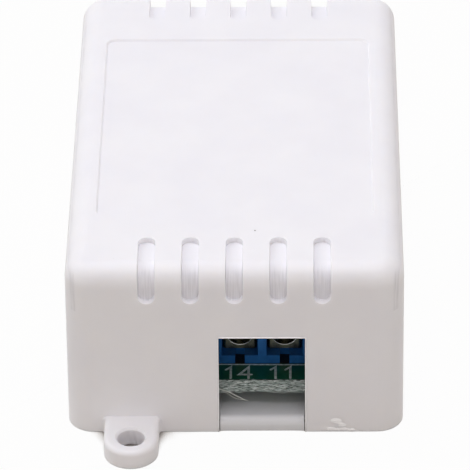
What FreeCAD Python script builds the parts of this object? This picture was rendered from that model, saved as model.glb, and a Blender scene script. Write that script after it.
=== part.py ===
import FreeCAD, Part
import math
import os

# Time delay relay module in a two-part moulded case. All sizes are in millimetres.
# +Z is up. -Y is the output end, whose wire window looks forward, and +Y is the input end.
# The origin is the middle of the underside. Case, windows, ears and terminal blocks repeat
# at the input end by half a turn about Z.

# Case cover
case_length = 60.0
case_width = 38.0
case_height = 22.0
wall = 1.8
roof = 1.5
draft_angle = 0.3
corner_radius = 3.0
roof_edge_radius = 2.5
window_centre = 3.02
window_width = 9.83
window_top = 13.0
window_corner_radius = 0.2
label_width = 31.4
label_end_margin = 11.1
label_depth = 0.25
label_corner_radius = 1.0
label_slope = 0.2
groove_count = 5
groove_pitch = 4.89
groove_floor = 1.86
groove_flank_lean = 0.06
groove_roof_depth = 0.65
groove_wall_depth = 0.85
groove_end_margin = 6.8
groove_drop = 4.4
ear_centre = 11.7
ear_reach = 3.86
ear_radius = 3.08
ear_thickness = 2.2
ear_hole_radius = 1.55
ear_hole_edge = 0.25
ear_flare = 0.4
ear_edge_radius = 0.6
boss_radius = 2.5
boss_corner_offset = 2.3
rib_thickness = 1.0
rib_depth = 1.9
rib_from_end = 8.6

# Base plate
plate_thickness = 1.6
plate_gap = 0.15
plate_edge = 0.3
tab_side_gap = 0.15
tab_recess = 0.2
tab_edge_radius = 1.0
pad_height = 1.0
pad_radius = 3.2
standoff_height = 1.9
post_radius = 1.8
post_edge_offset = 3.8
post_end_offset = 6.6
pin_radius = 0.9
pin_rise = 0.7
pin_gap = 0.1

# Case screws, self-tapping, put in from below
screw_head_radius = 1.9
screw_head_height = 1.2
screw_head_recess = 0.1
screw_head_gap = 0.2
screw_shank_radius = 1.1
screw_length = 7.5
screw_slot = 0.6
screw_slot_depth = 0.6
screw_hole_gap = 0.15
thread_gap = 0.05

# Circuit board
board_thickness = 1.6
board_side_gap = 0.3
board_end_gap = 1.1
board_corner_radius = 0.8
board_notch_gap = 0.4
hold_down_gap = 0.1
lead_hole_gap = 0.1
lead_below_board = 1.4

# Terminal blocks, two poles each
pole_pitch = 5.08
block_depth = 8.0
block_height = 10.2
block_setback = 6.1
block_chamfer_depth = 1.3
block_chamfer_drop = 2.6
block_edge_radius = 0.25
chamber_width = 4.1
chamber_floor = 1.1
entry_height = 4.6
front_wall = 0.8
sill_slot_width = 1.1
sill_slot_depth = 1.8
rail_width = 1.4
rail_height = 7.1
rail_depth = 0.5
rail_gap = 0.1
cage_width = 3.75
cage_depth = 4.8
cage_gap = 0.05
cage_front_gap = 0.6
cage_bottom = 0.5
cage_opening = 3.0
cage_top = 1.4
cage_edge_radius = 0.3
cage_travel = 1.8
cage_head_room = 0.05
ledge_thickness = 0.4
clamp_head_radius = 1.8
clamp_head_height = 1.6
clamp_head_gap = 0.15
clamp_head_seat = 0.02
clamp_shank_radius = 1.25
clamp_shank_gap = 0.05
clamp_slot = 0.6
clamp_slot_depth = 0.8
tongue_width = 1.8
tongue_thickness = 0.65
tongue_front_gap = 0.2
tongue_top_gap = 0.05
strip_gap = 0.3
strip_clearance = 0.05
solder_pin_width = 1.0
contact_end_gap = 0.2

# Relay
relay_length = 19.0
relay_width = 15.5
relay_roof_gap = 0.3
relay_shell = 0.7
relay_edge_radius = 0.6
relay_top_radius = 0.5
relay_lift = 0.3
relay_foot_radius = 0.6
relay_fit = 0.1
relay_base_thickness = 1.5
relay_block_gap = 1.9
relay_centre = 6.4
relay_pin_fit = 0.05
yoke_thickness = 1.2
yoke_width = 9.0
yoke_end_gap = 0.3
hinge_gap = 0.05
spring_thickness = 0.2
spring_width = 4.0
spring_root_height = 5.0
spring_corner_radius = 0.5
core_radius = 1.7
core_head_radius = 2.8
core_head_height = 0.55
core_from_hinge = 7.3
bobbin_flange = 0.75
bobbin_half_width = 5.4
bobbin_hub = 0.55
winding_radius = 5.0
winding_fit = 0.05
armature_thickness = 1.0
armature_width = 8.4
armature_front_reach = 3.6
armature_gap = 0.33
contact_radius = 1.0
contact_height = 0.5
contact_gap = 0.45
contact_touch = 0.02
contact_arm_thickness = 0.5
contact_arm_width = 1.8
contact_pin_inset = 2.4
contact_pin_side = 6.0
contact_pin_width = 1.0
coil_pin_inset = 4.4
coil_pin_radius = 0.3
coil_pin_rise = 4.0
common_pin_inset = 2.1
common_pin_thickness = 0.6

# Trimming potentiometer
trimmer_length = 9.5
trimmer_width = 4.8
trimmer_height = 10.0
trimmer_lift = 0.3
trimmer_foot = 0.8
trimmer_edge = 0.25
trimmer_screw_radius = 1.1
trimmer_screw_gap = 0.05
trimmer_screw_rise = 1.2
trimmer_screw_depth = 4.0
trimmer_screw_inset = 1.7
trimmer_lead_radius = 0.25
trimmer_lead_pitch = 2.54
trimmer_edge_gap = 1.0
trimmer_start = 2.0

# Electrolytic capacitors
capacitor_sleeve = 0.12
capacitor_fit = 0.03
capacitor_lap = 0.5
capacitor_bead = 0.25
capacitor_bead_height = 1.9
capacitor_bung = 1.2
capacitor_wall = 0.3
capacitor_lead_radius = 0.25
timing_radius = 2.5
timing_height = 11.0
timing_lead_pitch = 2.0
filter_radius = 3.15
filter_height = 11.5
filter_lead_pitch = 2.5

# Small packages soldered on the board's top
lead_thickness = 0.2
chip_length = 4.9
chip_width = 3.9
chip_height = 1.45
chip_lift = 0.1
chip_span = 6.0
chip_foot = 0.6
chip_lead_width = 0.42
chip_lead_pitch = 1.27
chip_lead_rows = 4
chip_side_slope = 0.12
dimple_radius = 0.4
dimple_depth = 0.1
transistor_length = 2.9
transistor_width = 1.3
transistor_height = 1.0
transistor_span = 2.4
transistor_foot = 0.35
transistor_lead_width = 0.4
transistor_lead_pitch = 0.95
regulator_length = 4.5
regulator_width = 2.5
regulator_height = 1.5
regulator_span = 4.2
regulator_foot = 0.5
regulator_lead_width = 0.44
regulator_lead_pitch = 1.5
diode_length = 4.3
diode_width = 2.6
diode_height = 2.1
diode_span = 5.0
diode_lead_width = 1.45
diode_lift = 0.25
diode_tuck = 1.1
resistor_length = 2.0
resistor_width = 1.25
resistor_height = 0.5
ceramic_height = 0.9
end_cap_length = 0.4
led_base_height = 0.3
led_lens_length = 1.2
led_lens_height = 0.5
led_lens_slope = 0.1

# Places on the board, across from the middle and back from the relay's front end
timing_place = (-6.2, 2.6)
chip_place = (-5.0, 10.6)
transistor_place = (-6.0, 16.2)
regulator_place = (-6.0, 21.2)
diode_rows = (15.6, 20.6)
diode_edge_gap = 1.4
front_resistors = [(-4.4, 6.6), (-9.8, 13.0), (-10.2, 24.6)]
front_ceramics = [(-7.4, 6.6)]

# Places across from the middle and back from the relay's rear end
filter_place = (8.6, 5.4)
rear_resistors = [(3.4, 3.4), (3.4, 6.6), (13.3, 3.4), (13.3, 6.6)]
rear_ceramics = [(-1.6, 1.8), (-1.6, 3.6)]
lamp_x = 11.4
front_lamp_gap = 5.4
rear_lamp_gap = 11.2

# Heights and places that follow from the sizes above
clip = 0.5
plate_top = plate_thickness
pad_top = plate_top + pad_height
board_bottom = plate_top + standoff_height
board_top = board_bottom + board_thickness
roof_underside = case_height - roof
inner_half_width = case_width / 2 - wall
inner_half_length = case_length / 2 - wall
board_half_width = inner_half_width - board_side_gap
board_half_length = inner_half_length - board_end_gap
boss_x = inner_half_width - boss_corner_offset
boss_y = -(inner_half_length - boss_corner_offset)
block_front = -case_length / 2 + block_setback
pole_offsets = [-pole_pitch / 2, pole_pitch / 2]
cage_start = front_wall + cage_front_gap
cage_end = cage_start + cage_depth
cage_low = chamber_floor + cage_gap
cage_height = cage_bottom + cage_opening + cage_top
cage_high = cage_low + cage_height
opening_top = cage_low + cage_bottom + cage_opening
ledge_bottom = cage_high + cage_travel + cage_head_room
head_seat = ledge_bottom + ledge_thickness
tongue_top = opening_top - tongue_top_gap
tongue_bottom = tongue_top - tongue_thickness
strip_start = cage_end + strip_gap
strip_end = strip_start + tongue_thickness
relay_front = block_front + block_depth + relay_block_gap
relay_middle = relay_front + relay_length / 2
relay_back = relay_front + relay_length
relay_height = roof_underside - board_top - relay_roof_gap
lead_end = -board_thickness - lead_below_board
diode_x = -board_half_width + diode_edge_gap + diode_span / 2


def vec(x, y, z):
    return FreeCAD.Vector(x, y, z)


def lean(z):
    """How far the drafted case walls have moved in at height z."""
    return z * math.tan(math.radians(draft_angle))


def save(name, shape):
    """One STEP file for each node. Several solids make one compound."""
    if isinstance(shape, list):
        shape = Part.makeCompound(shape)
    shape.exportStep("parts/" + name + ".step")


def block(x0, x1, y0, y1, z0, z1):
    return Part.makeBox(x1 - x0, y1 - y0, z1 - z0, vec(x0, y0, z0))


def rod(x, y, z0, z1, radius):
    return Part.makeCylinder(radius, z1 - z0, vec(x, y, z0))


def moved(shape, x, y, z):
    return shape.translated(vec(x, y, z))


def half_turn(shape):
    """The same shape at the case's other end."""
    return shape.rotated(vec(0, 0, 0), vec(0, 0, 1), 180)


def rounded_rectangle(half_x, half_y, radius, z):
    """A closed outline of four sides and four corner arcs at height z."""
    edges = []
    corners = [(1, 1), (-1, 1), (-1, -1), (1, -1)]
    ends = []
    for index, (sx, sy) in enumerate(corners):
        middle = vec(sx * (half_x - radius), sy * (half_y - radius), z)
        start = math.radians(90 * index)
        spots = []
        for step in range(3):
            angle = start + math.radians(45 * step)
            spots.append(middle + vec(math.cos(angle), math.sin(angle), 0) * radius)
        edges.append(Part.Arc(*spots).toShape())
        ends.append((spots[0], spots[2]))
    for index in range(4):
        start = ends[index][1]
        finish = ends[(index + 1) % 4][0]
        edges.append(Part.makeLine(start, finish))
    return Part.Wire(Part.__sortEdges__(edges))


def rounded_block(half_x, half_y, radius, z0, z1):
    face = Part.Face(rounded_rectangle(half_x, half_y, radius, z0))
    return face.extrude(vec(0, 0, z1 - z0))


def case_outline(inset, z):
    """The case's outline at height z, moved in by inset, with its draft."""
    shrink = inset + lean(z)
    radius = max(corner_radius - shrink, wall / 4)
    return rounded_rectangle(case_width / 2 - shrink, case_length / 2 - shrink, radius, z)


def edges_at(shape, z):
    """The edges that lie flat at height z."""
    found = []
    for edge in shape.Edges:
        box = edge.BoundBox
        if abs(box.ZMin - z) < 1e-4 and abs(box.ZMax - z) < 1e-4:
            found.append(edge)
    return found


def upright_edges(shape):
    """The straight edges that run up and down."""
    found = []
    for edge in shape.Edges:
        box = edge.BoundBox
        if box.XLength < 1e-4 and box.YLength < 1e-4:
            found.append(edge)
    return found


def side_profile(points, half_width):
    """An outline of (y, z) points carried across X, from -half_width to half_width."""
    corners = [vec(-half_width, y, z) for y, z in points]
    outline = Part.makePolygon(corners + corners[:1])
    return Part.Face(outline).extrude(vec(2 * half_width, 0, 0))


def cover_shell():
    """The cover's drafted outside with its round roof edge, less the hollow inside."""
    outside = Part.makeLoft([case_outline(0, 0), case_outline(0, case_height)], True, True)
    outside = outside.makeFillet(roof_edge_radius, edges_at(outside, case_height))
    hollow = Part.makeLoft([case_outline(wall, -clip), case_outline(wall, roof_underside)], True, True)
    inner_radius = max(roof_edge_radius - wall, wall / 4)
    hollow = hollow.makeFillet(inner_radius, edges_at(hollow, roof_underside))
    return outside.cut(hollow)


def groove_half_section():
    """Half a groove's section as (across, outward) from its floor: the flank leans outwards."""
    reach = groove_roof_depth + groove_wall_depth
    corners = [
        vec(0, 0, 0),
        vec(groove_floor / 2, 0, 0),
        vec(groove_floor / 2 + groove_flank_lean * reach, 0, reach),
        vec(0, 0, reach),
    ]
    return Part.Face(Part.makePolygon(corners + corners[:1]))


def groove_cutters(x):
    """One blind groove: along the roof, round the roof edge and down the end wall.

    Its floor has the roof edge's own radius, sunk below the roof and set in from the wall.
    """
    half = groove_half_section()
    full = half.fuse(half.mirror(vec(0, 0, 0), vec(1, 0, 0))).removeSplitter()
    slope = math.radians(draft_angle)
    edge_z = case_height - groove_roof_depth - roof_edge_radius
    inset = groove_wall_depth + roof_edge_radius
    edge_y = -(case_length / 2 - lean(edge_z)) + inset / math.cos(slope)
    floor_z = edge_z + roof_edge_radius
    turn = 90 - draft_angle
    axis_point = vec(x, edge_y, edge_z)
    axis = vec(1, 0, 0)
    down = vec(0, -math.sin(slope), -math.cos(slope))
    end_radius = groove_floor / 2 + groove_flank_lean * groove_roof_depth
    roof_run = -case_length / 2 + groove_end_margin - end_radius - edge_y
    wall_run = groove_drop - groove_roof_depth - roof_edge_radius - end_radius
    section = moved(full, x, edge_y, floor_z)
    half_section = moved(half, x, edge_y, floor_z)
    spindle = vec(x, edge_y, floor_z)
    back_end = half_section.revolve(spindle, vec(0, 0, 1), 180)
    low_end = half_section.revolve(spindle, vec(0, 0, 1), -180)
    roof_part = section.extrude(vec(0, roof_run, 0))
    edge_part = section.revolve(axis_point, axis, turn)
    wall_part = section.rotated(axis_point, axis, turn).extrude(down * wall_run)
    back_end = moved(back_end, 0, roof_run, 0)
    low_end = low_end.rotated(axis_point, axis, turn).translated(down * wall_run)
    return [roof_part, edge_part, wall_part, back_end, low_end]


def window_cutter(low, inset):
    """The wire window's outline from height low, made smaller by inset, through the end wall."""
    half = window_width / 2 - inset
    height = window_top - inset - low
    start = -case_length / 2 - clip
    body = block(-half, half, start, -inner_half_length + clip, low, low + height)
    tops = []
    for edge in body.Edges:
        box = edge.BoundBox
        if box.XLength < 1e-4 and box.ZLength < 1e-4 and box.ZMin > low + height - 1e-4:
            tops.append(edge)
    body = body.makeFillet(window_corner_radius, tops)
    return moved(body, window_centre, 0, 0)


def label_cutter():
    """The shallow label recess in the roof, with sloped sides."""
    half_x = label_width / 2
    half_y = case_length / 2 - label_end_margin
    floor_z = case_height - label_depth
    rise = label_depth + clip
    grow = label_slope * rise / label_depth
    low = rounded_rectangle(half_x - label_slope, half_y - label_slope, label_corner_radius, floor_z)
    top = rounded_rectangle(
        half_x - label_slope + grow, half_y - label_slope + grow, label_corner_radius + grow, floor_z + rise
    )
    return Part.makeLoft([low, top], True, True)


def ear():
    """A mounting ear: round end, flared root, rounded rims and a screw hole."""
    wall_y = -case_length / 2
    root = ear_radius + ear_flare
    middle = wall_y - ear_reach
    inside = wall_y + wall / 2
    cut_back = ear_flare * (1 - math.sqrt(0.5))
    spots = [
        vec(root, inside, 0),
        vec(root, wall_y, 0),
        vec(ear_radius, wall_y - ear_flare, 0),
        vec(ear_radius, middle, 0),
        vec(-ear_radius, middle, 0),
        vec(-ear_radius, wall_y - ear_flare, 0),
        vec(-root, wall_y, 0),
        vec(-root, inside, 0),
    ]
    flare_spot = vec(ear_radius + cut_back, wall_y - cut_back, 0)
    other_flare_spot = vec(-flare_spot.x, flare_spot.y, 0)
    edges = [
        Part.makeLine(spots[0], spots[1]),
        Part.Arc(spots[1], flare_spot, spots[2]).toShape(),
        Part.makeLine(spots[2], spots[3]),
        Part.Arc(spots[3], vec(0, middle - ear_radius, 0), spots[4]).toShape(),
        Part.makeLine(spots[4], spots[5]),
        Part.Arc(spots[5], other_flare_spot, spots[6]).toShape(),
        Part.makeLine(spots[6], spots[7]),
        Part.makeLine(spots[7], spots[0]),
    ]
    solid = Part.Face(Part.Wire(edges)).extrude(vec(0, 0, ear_thickness))
    rim = [edge for edge in edges_at(solid, ear_thickness) if edge.BoundBox.YMax < wall_y + 1e-3]
    solid = solid.makeFillet(ear_edge_radius, rim)
    solid = solid.cut(rod(0, middle, -clip, ear_thickness + clip, ear_hole_radius))
    hole_rim = [edge for edge in edges_at(solid, ear_thickness)
                if edge.BoundBox.YLength < 2 * ear_hole_radius + 1e-3 and len(edge.Vertexes) == 1]
    solid = solid.makeChamfer(ear_hole_edge, hole_rim)
    return moved(solid, -ear_centre, 0, 0)


def cover_boss():
    """A screw boss in the cover's corner, standing on the base plate's pad."""
    return rod(boss_x, boss_y, pad_top, roof_underside + clip, boss_radius)


def hold_down_ribs():
    """Two ribs, one on each side wall, whose lower ends keep the board on its posts."""
    low = board_top + hold_down_gap
    high = roof_underside + clip
    y = -inner_half_length + rib_from_end
    outer = inner_half_width + clip
    inner = inner_half_width - rib_depth
    ribs = []
    for side in (-1, 1):
        near, far = sorted((side * inner, side * outer))
        ribs.append(block(near, far, y - rib_thickness / 2, y + rib_thickness / 2, low, high))
    return ribs


def top_cover():
    cover = cover_shell()
    added = [ear(), cover_boss()] + hold_down_ribs()
    cover = cover.fuse(added + [half_turn(piece) for piece in added]).removeSplitter()
    pilot_top = screw_head_recess + screw_head_height + screw_length + clip
    pilot = rod(boss_x, boss_y, 0, pilot_top, screw_shank_radius + thread_gap)
    cuts = [window_cutter(-clip, 0), pilot]
    for index in range(groove_count):
        cuts += groove_cutters((index - (groove_count - 1) / 2) * groove_pitch)
    cover = cover.cut(cuts + [half_turn(piece) for piece in cuts])
    return cover.cut(label_cutter())


def window_tab():
    """The base plate's tongue that fills the foot of the wire window."""
    half = window_width / 2 - tab_side_gap
    front = -case_length / 2 + tab_recess
    back = -inner_half_length + plate_gap + clip
    tab = block(-half, half, front, back, 0, plate_thickness)
    rims = []
    for edge in edges_at(tab, plate_thickness):
        if edge.BoundBox.YMax < front + 1e-3:
            rims.append(edge)
    return moved(tab.makeFillet(tab_edge_radius, rims), window_centre, 0, 0)


def post_places():
    """The board's posts: the first and third also carry a locating pin."""
    x = board_half_width - post_edge_offset
    y = board_half_length - post_end_offset
    return [(-x, -y), (x, -y), (x, y), (-x, y)]


def base_plate():
    """The plate that closes the case from below and carries the board on four posts."""
    shrink = wall + plate_gap + lean(plate_thickness)
    radius = max(corner_radius - shrink, plate_gap)
    half_x = case_width / 2 - shrink
    half_y = case_length / 2 - shrink
    plate = rounded_block(half_x, half_y, radius, 0, plate_thickness)
    plate = plate.makeChamfer(plate_edge, edges_at(plate, 0))
    pad = rod(boss_x, boss_y, plate_thickness / 2, pad_top, pad_radius)
    pad = pad.common(rounded_block(half_x, half_y, radius, 0, pad_top))
    added = [window_tab(), pad]
    added += [half_turn(piece) for piece in added]
    for x, y in post_places():
        added.append(rod(x, y, plate_thickness / 2, board_bottom, post_radius))
    for x, y in post_places()[::2]:
        added.append(rod(x, y, board_bottom - clip, board_top + pin_rise, pin_radius))
    plate = plate.fuse(added).removeSplitter()
    seat = screw_head_recess + screw_head_height
    cuts = [
        rod(boss_x, boss_y, -clip, seat, screw_head_radius + screw_head_gap),
        rod(boss_x, boss_y, -clip, pad_top + clip, screw_shank_radius + screw_hole_gap),
    ]
    return plate.cut(cuts + [half_turn(piece) for piece in cuts])


def slotted_screw(head_radius, head_height, shank_radius, shank_length, slot, slot_depth):
    """A screw with its seat at z 0, shank down and slotted head up."""
    head = rod(0, 0, 0, head_height, head_radius)
    head = head.makeChamfer(head_height / 5, edges_at(head, head_height))
    shank = rod(0, 0, -shank_length, 0, shank_radius)
    shank = shank.makeChamfer(shank_radius / 4, edges_at(shank, -shank_length))
    reach = head_radius + clip
    groove = block(-reach, reach, -slot / 2, slot / 2, head_height - slot_depth, head_height + clip)
    return head.fuse(shank).cut(groove)


def case_screws():
    """Two self-tapping screws, heads sunk in the base plate."""
    screw = slotted_screw(
        screw_head_radius, screw_head_height, screw_shank_radius, screw_length, screw_slot, screw_slot_depth
    )
    screw = screw.rotated(vec(0, 0, 0), vec(1, 0, 0), 180)
    screw = moved(screw, boss_x, boss_y, screw_head_recess + screw_head_height)
    return [screw, half_turn(screw)]


def terminal_body():
    """A two-pole housing: wire entries in front, screw wells on top, rails at its sides.

    Its front face is at y 0 and its underside at z 0.
    """
    half = pole_pitch
    outline = [
        (0, 0),
        (block_depth, 0),
        (block_depth, block_height),
        (block_chamfer_depth, block_height),
        (0, block_height - block_chamfer_drop),
    ]
    body = side_profile(outline, half)
    body = body.makeFillet(block_edge_radius, edges_at(body, block_height))
    rail_y = block_depth / 2
    rail = [(rail_y - rail_width / 2, 0), (rail_y + rail_width / 2, 0)]
    rail += [(y, rail_height) for y, z in reversed(rail)]
    tongue = moved(side_profile(rail, rail_depth / 2), -half - rail_depth / 2, 0, 0)
    groove = [(rail_y - rail_width / 2 - rail_gap, -clip), (rail_y + rail_width / 2 + rail_gap, -clip)]
    groove += [(y, rail_height + rail_gap) for y, z in reversed(groove)]
    body = body.fuse(tongue).removeSplitter()
    cuts = [moved(side_profile(groove, rail_depth + rail_gap), half, 0, 0)]
    reach = chamber_width / 2
    strip_half = tongue_width / 2 + strip_clearance
    slot_half = sill_slot_width / 2
    entry_top = chamber_floor + entry_height
    slot_start = strip_start - strip_clearance
    slot_end = strip_end + strip_clearance
    slot_top = tongue_top + strip_clearance
    well_y = cage_start + cage_depth / 2
    for x in pole_offsets:
        cuts.append(block(x - reach, x + reach, front_wall, strip_start, chamber_floor, ledge_bottom))
        cuts.append(block(x - reach, x + reach, -clip, front_wall, chamber_floor, entry_top))
        cuts.append(block(x - strip_half, x + strip_half, slot_start, slot_end, -clip, slot_top))
        cuts.append(block(x - slot_half, x + slot_half, -clip, sill_slot_depth, -clip, chamber_floor))
        cuts.append(rod(x, well_y, head_seat, block_height + clip, clamp_head_radius + clamp_head_gap))
        cuts.append(rod(x, well_y, ledge_bottom - clip, head_seat, clamp_shank_radius + clamp_head_gap))
    return body.cut(cuts)


def clamp_cage():
    """A rising clamp: a metal box with a round-bottomed wire opening and a tapped top."""
    half = cage_width / 2
    body = block(-half, half, cage_start, cage_end, cage_low, cage_high)
    body = body.makeFillet(cage_edge_radius, upright_edges(body))
    radius = cage_opening / 2
    centre_z = cage_low + cage_bottom + radius
    mouth = vec(0, cage_start - clip, centre_z)
    tunnel = Part.makeCylinder(radius, cage_depth + 2 * clip, mouth, vec(0, 1, 0))
    upper = block(-radius, radius, cage_start - clip, cage_end + clip, centre_z, opening_top)
    tap_y = cage_start + cage_depth / 2
    tap = rod(0, tap_y, opening_top - clip, cage_high + clip, clamp_shank_radius + clamp_shank_gap)
    return body.cut([tunnel.fuse(upper).removeSplitter(), tap])


def clamp_screw():
    """The pole's screw, held in the housing's well, with its tip just above the contact."""
    shank = head_seat + clamp_head_seat - tongue_top - contact_end_gap
    screw = slotted_screw(
        clamp_head_radius, clamp_head_height, clamp_shank_radius, shank, clamp_slot, clamp_slot_depth
    )
    return moved(screw, 0, cage_start + cage_depth / 2, head_seat + clamp_head_seat)


def fixed_contact():
    """The pole's bent strip: a tongue through the cage, a riser behind it and a solder pin."""
    half = tongue_width / 2
    tongue = block(-half, half, cage_start + tongue_front_gap, strip_end, tongue_bottom, tongue_top)
    riser = block(-half, half, strip_start, strip_end, 0, tongue_top)
    pin_half = solder_pin_width / 2
    pin = block(-pin_half, pin_half, strip_start, strip_end, lead_end, 0)
    return tongue.fuse([riser, pin]).removeSplitter()


def at_output(shape, x):
    """From a terminal block's own place to the output end, x across from the block's middle."""
    return moved(shape, window_centre + x, block_front, board_top)


def save_terminal(prefix, turn):
    """One terminal block: housing, and cage, screw and contact for each pole."""
    save(prefix + "_terminal_housing", turn(at_output(terminal_body(), 0)))
    contacts = [turn(at_output(fixed_contact(), x)) for x in pole_offsets]
    save(prefix + "_terminal_contacts", contacts)
    for side, x in zip(("left", "right"), pole_offsets):
        save(prefix + "_clamp_cage_" + side, turn(at_output(clamp_cage(), x)))
        save(prefix + "_clamp_screw_" + side, turn(at_output(clamp_screw(), x)))


def unturned(shape):
    return shape


# Heights inside the relay, counted from the board's top
relay_floor = relay_lift + relay_base_thickness
relay_ceiling = relay_height - relay_shell
closed_arm_top = relay_ceiling - relay_shell
closed_arm_bottom = closed_arm_top - contact_arm_thickness
spring_top = closed_arm_bottom - 2 * contact_height - contact_touch
spring_bottom = spring_top - spring_thickness
armature_bottom = spring_bottom - armature_thickness
yoke_top = armature_bottom - hinge_gap
core_top = armature_bottom - armature_gap
core_neck = core_top - core_head_height
open_arm_top = spring_bottom - 2 * contact_height - contact_gap
yoke_back = relay_length / 2 - relay_shell - yoke_end_gap
yoke_front = yoke_back - yoke_thickness
hinge_y = yoke_back - spring_thickness
core_y = hinge_y - core_from_hinge
contact_y = -relay_length / 2 + contact_pin_inset


def in_relay(shape):
    """From the relay's own middle to its place on the board."""
    return moved(shape, relay_centre, relay_middle, board_top)


def relay_cover():
    half_x = relay_width / 2
    half_y = relay_length / 2
    outside = rounded_block(half_x, half_y, relay_edge_radius, relay_lift, relay_height)
    outside = outside.makeFillet(relay_top_radius, edges_at(outside, relay_height))
    inner_x = half_x - relay_shell
    inner_y = half_y - relay_shell
    return outside.cut(block(-inner_x, inner_x, -inner_y, inner_y, relay_lift - clip, relay_ceiling))


def relay_pin_slots():
    """Where the relay's pins pass its base and the board, as (x, y, half x, half y)."""
    pin_half = contact_pin_width / 2
    arm_half = contact_arm_thickness / 2
    common_y = relay_length / 2 - common_pin_inset
    coil_y = relay_length / 2 - coil_pin_inset
    return {
        "common": (0, common_y, pin_half, common_pin_thickness / 2),
        "coil_left": (-contact_pin_side, coil_y, coil_pin_radius, coil_pin_radius),
        "coil_right": (contact_pin_side, coil_y, coil_pin_radius, coil_pin_radius),
        "open": (-contact_pin_side, contact_y, arm_half, pin_half),
        "closed": (contact_pin_side, contact_y, arm_half, pin_half),
    }


def relay_base():
    half_x = relay_width / 2 - relay_shell - relay_fit
    half_y = relay_length / 2 - relay_shell - relay_fit
    base = block(-half_x, half_x, -half_y, half_y, relay_lift, relay_floor)
    feet = []
    for sx in (-1, 1):
        for sy in (-1, 1):
            x = sx * (half_x - 2 * relay_foot_radius)
            y = sy * (half_y - 2 * relay_foot_radius)
            feet.append(rod(x, y, 0, relay_lift, relay_foot_radius))
    base = base.fuse(feet)
    cuts = []
    for x, y, dx, dy in relay_pin_slots().values():
        dx += relay_pin_fit
        dy += relay_pin_fit
        cuts.append(block(x - dx, x + dx, y - dy, y + dy, -clip, relay_floor + clip))
    return base.cut(cuts)


def relay_yoke():
    """The L-shaped iron, its foot under the coil and its upright behind, with the common pin."""
    half = yoke_width / 2
    foot_front = core_y - core_head_radius
    foot = block(-half, half, foot_front, yoke_back, relay_floor, relay_floor + yoke_thickness)
    upright = block(-half, half, yoke_front, yoke_back, relay_floor, yoke_top)
    x, y, dx, dy = relay_pin_slots()["common"]
    pin = block(x - dx, x + dx, y - dy, y + dy, lead_end, relay_floor)
    yoke = foot.fuse([upright, pin]).removeSplitter()
    return yoke.cut(rod(0, core_y, 0, relay_floor + yoke_thickness + clip, core_radius + relay_pin_fit))


def relay_return_spring():
    """The leaf's root, riveted to the back of the yoke."""
    half = spring_width / 2
    low = yoke_top - spring_root_height
    root = block(-half, half, yoke_back, yoke_back + spring_thickness, low, yoke_top)
    corners = [edge for edge in root.Edges if edge.BoundBox.YLength > spring_thickness / 2]
    return root.makeFillet(spring_corner_radius, corners)


def relay_core():
    shank = rod(0, core_y, relay_floor, core_neck, core_radius)
    head = rod(0, core_y, core_neck, core_top, core_head_radius)
    return shank.fuse(head)


def relay_bobbin():
    low = relay_floor + yoke_thickness
    half = bobbin_half_width
    hub_radius = core_radius + relay_pin_fit + bobbin_hub
    lower = block(-half, half, core_y - half, core_y + half, low, low + bobbin_flange)
    upper = block(-half, half, core_y - half, core_y + half, core_neck - bobbin_flange, core_neck)
    hub = rod(0, core_y, low, core_neck, hub_radius)
    bore = rod(0, core_y, low - clip, core_neck + clip, core_radius + relay_pin_fit)
    return lower.fuse([upper, hub]).removeSplitter().cut(bore)


def relay_winding():
    """The wound copper wire, as one closed ring between the bobbin's flanges."""
    low = relay_floor + yoke_thickness + bobbin_flange + winding_fit
    high = core_neck - bobbin_flange - winding_fit
    inner = core_radius + relay_pin_fit + bobbin_hub + winding_fit
    return rod(0, core_y, low, high, winding_radius).cut(rod(0, core_y, low - clip, high + clip, inner))


def relay_armature():
    half = armature_width / 2
    front = core_y - armature_front_reach
    plate = block(-half, half, front, hinge_y, armature_bottom, spring_bottom)
    return plate.makeFillet(armature_thickness / 2, upright_edges(plate))


def relay_contact_spring():
    half = spring_width / 2
    front = contact_y - contact_radius
    return block(-half, half, front, hinge_y, spring_bottom, spring_top)


def contact_button(z0, z1):
    return rod(0, contact_y, z0, z1, contact_radius)


def relay_moving_contact():
    """The rivet's two silver faces, above and below the leaf."""
    lower = contact_button(spring_bottom - contact_height, spring_bottom)
    upper = contact_button(spring_top, spring_top + contact_height)
    return [lower, upper]


def contact_arm(name, arm_top, button_low, button_high):
    """A fixed contact: a pin up the relay's side, an arm across it and a silver face."""
    x, y, dx, dy = relay_pin_slots()[name]
    side = -1 if x < 0 else 1
    riser = block(x - dx, x + dx, y - dy, y + dy, lead_end, arm_top)
    near, far = sorted((-side * contact_radius, x + side * dx))
    arm_half = contact_arm_width / 2
    arm = block(near, far, y - arm_half, y + arm_half, arm_top - contact_arm_thickness, arm_top)
    return riser.fuse([arm, contact_button(button_low, button_high)]).removeSplitter()


def relay_coil_pins():
    pins = []
    for name in ("coil_left", "coil_right"):
        x, y, dx, dy = relay_pin_slots()[name]
        pins.append(rod(x, y, lead_end, coil_pin_rise, coil_pin_radius))
    return pins


def save_relay():
    closed_button = (closed_arm_bottom - contact_height, closed_arm_bottom)
    open_button = (open_arm_top, open_arm_top + contact_height)
    save("relay_cover", in_relay(relay_cover()))
    save("relay_base", in_relay(relay_base()))
    save("relay_yoke", in_relay(relay_yoke()))
    save("relay_return_spring", in_relay(relay_return_spring()))
    save("relay_core", in_relay(relay_core()))
    save("relay_bobbin", in_relay(relay_bobbin()))
    save("relay_winding", in_relay(relay_winding()))
    save("relay_armature", in_relay(relay_armature()))
    save("relay_contact_spring", in_relay(relay_contact_spring()))
    save("relay_moving_contact", [in_relay(face) for face in relay_moving_contact()])
    save("relay_open_contact", in_relay(contact_arm("open", open_arm_top, *open_button)))
    save("relay_closed_contact", in_relay(contact_arm("closed", closed_arm_top, *closed_button)))
    save("relay_coil_pins", [in_relay(pin) for pin in relay_coil_pins()])


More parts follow.
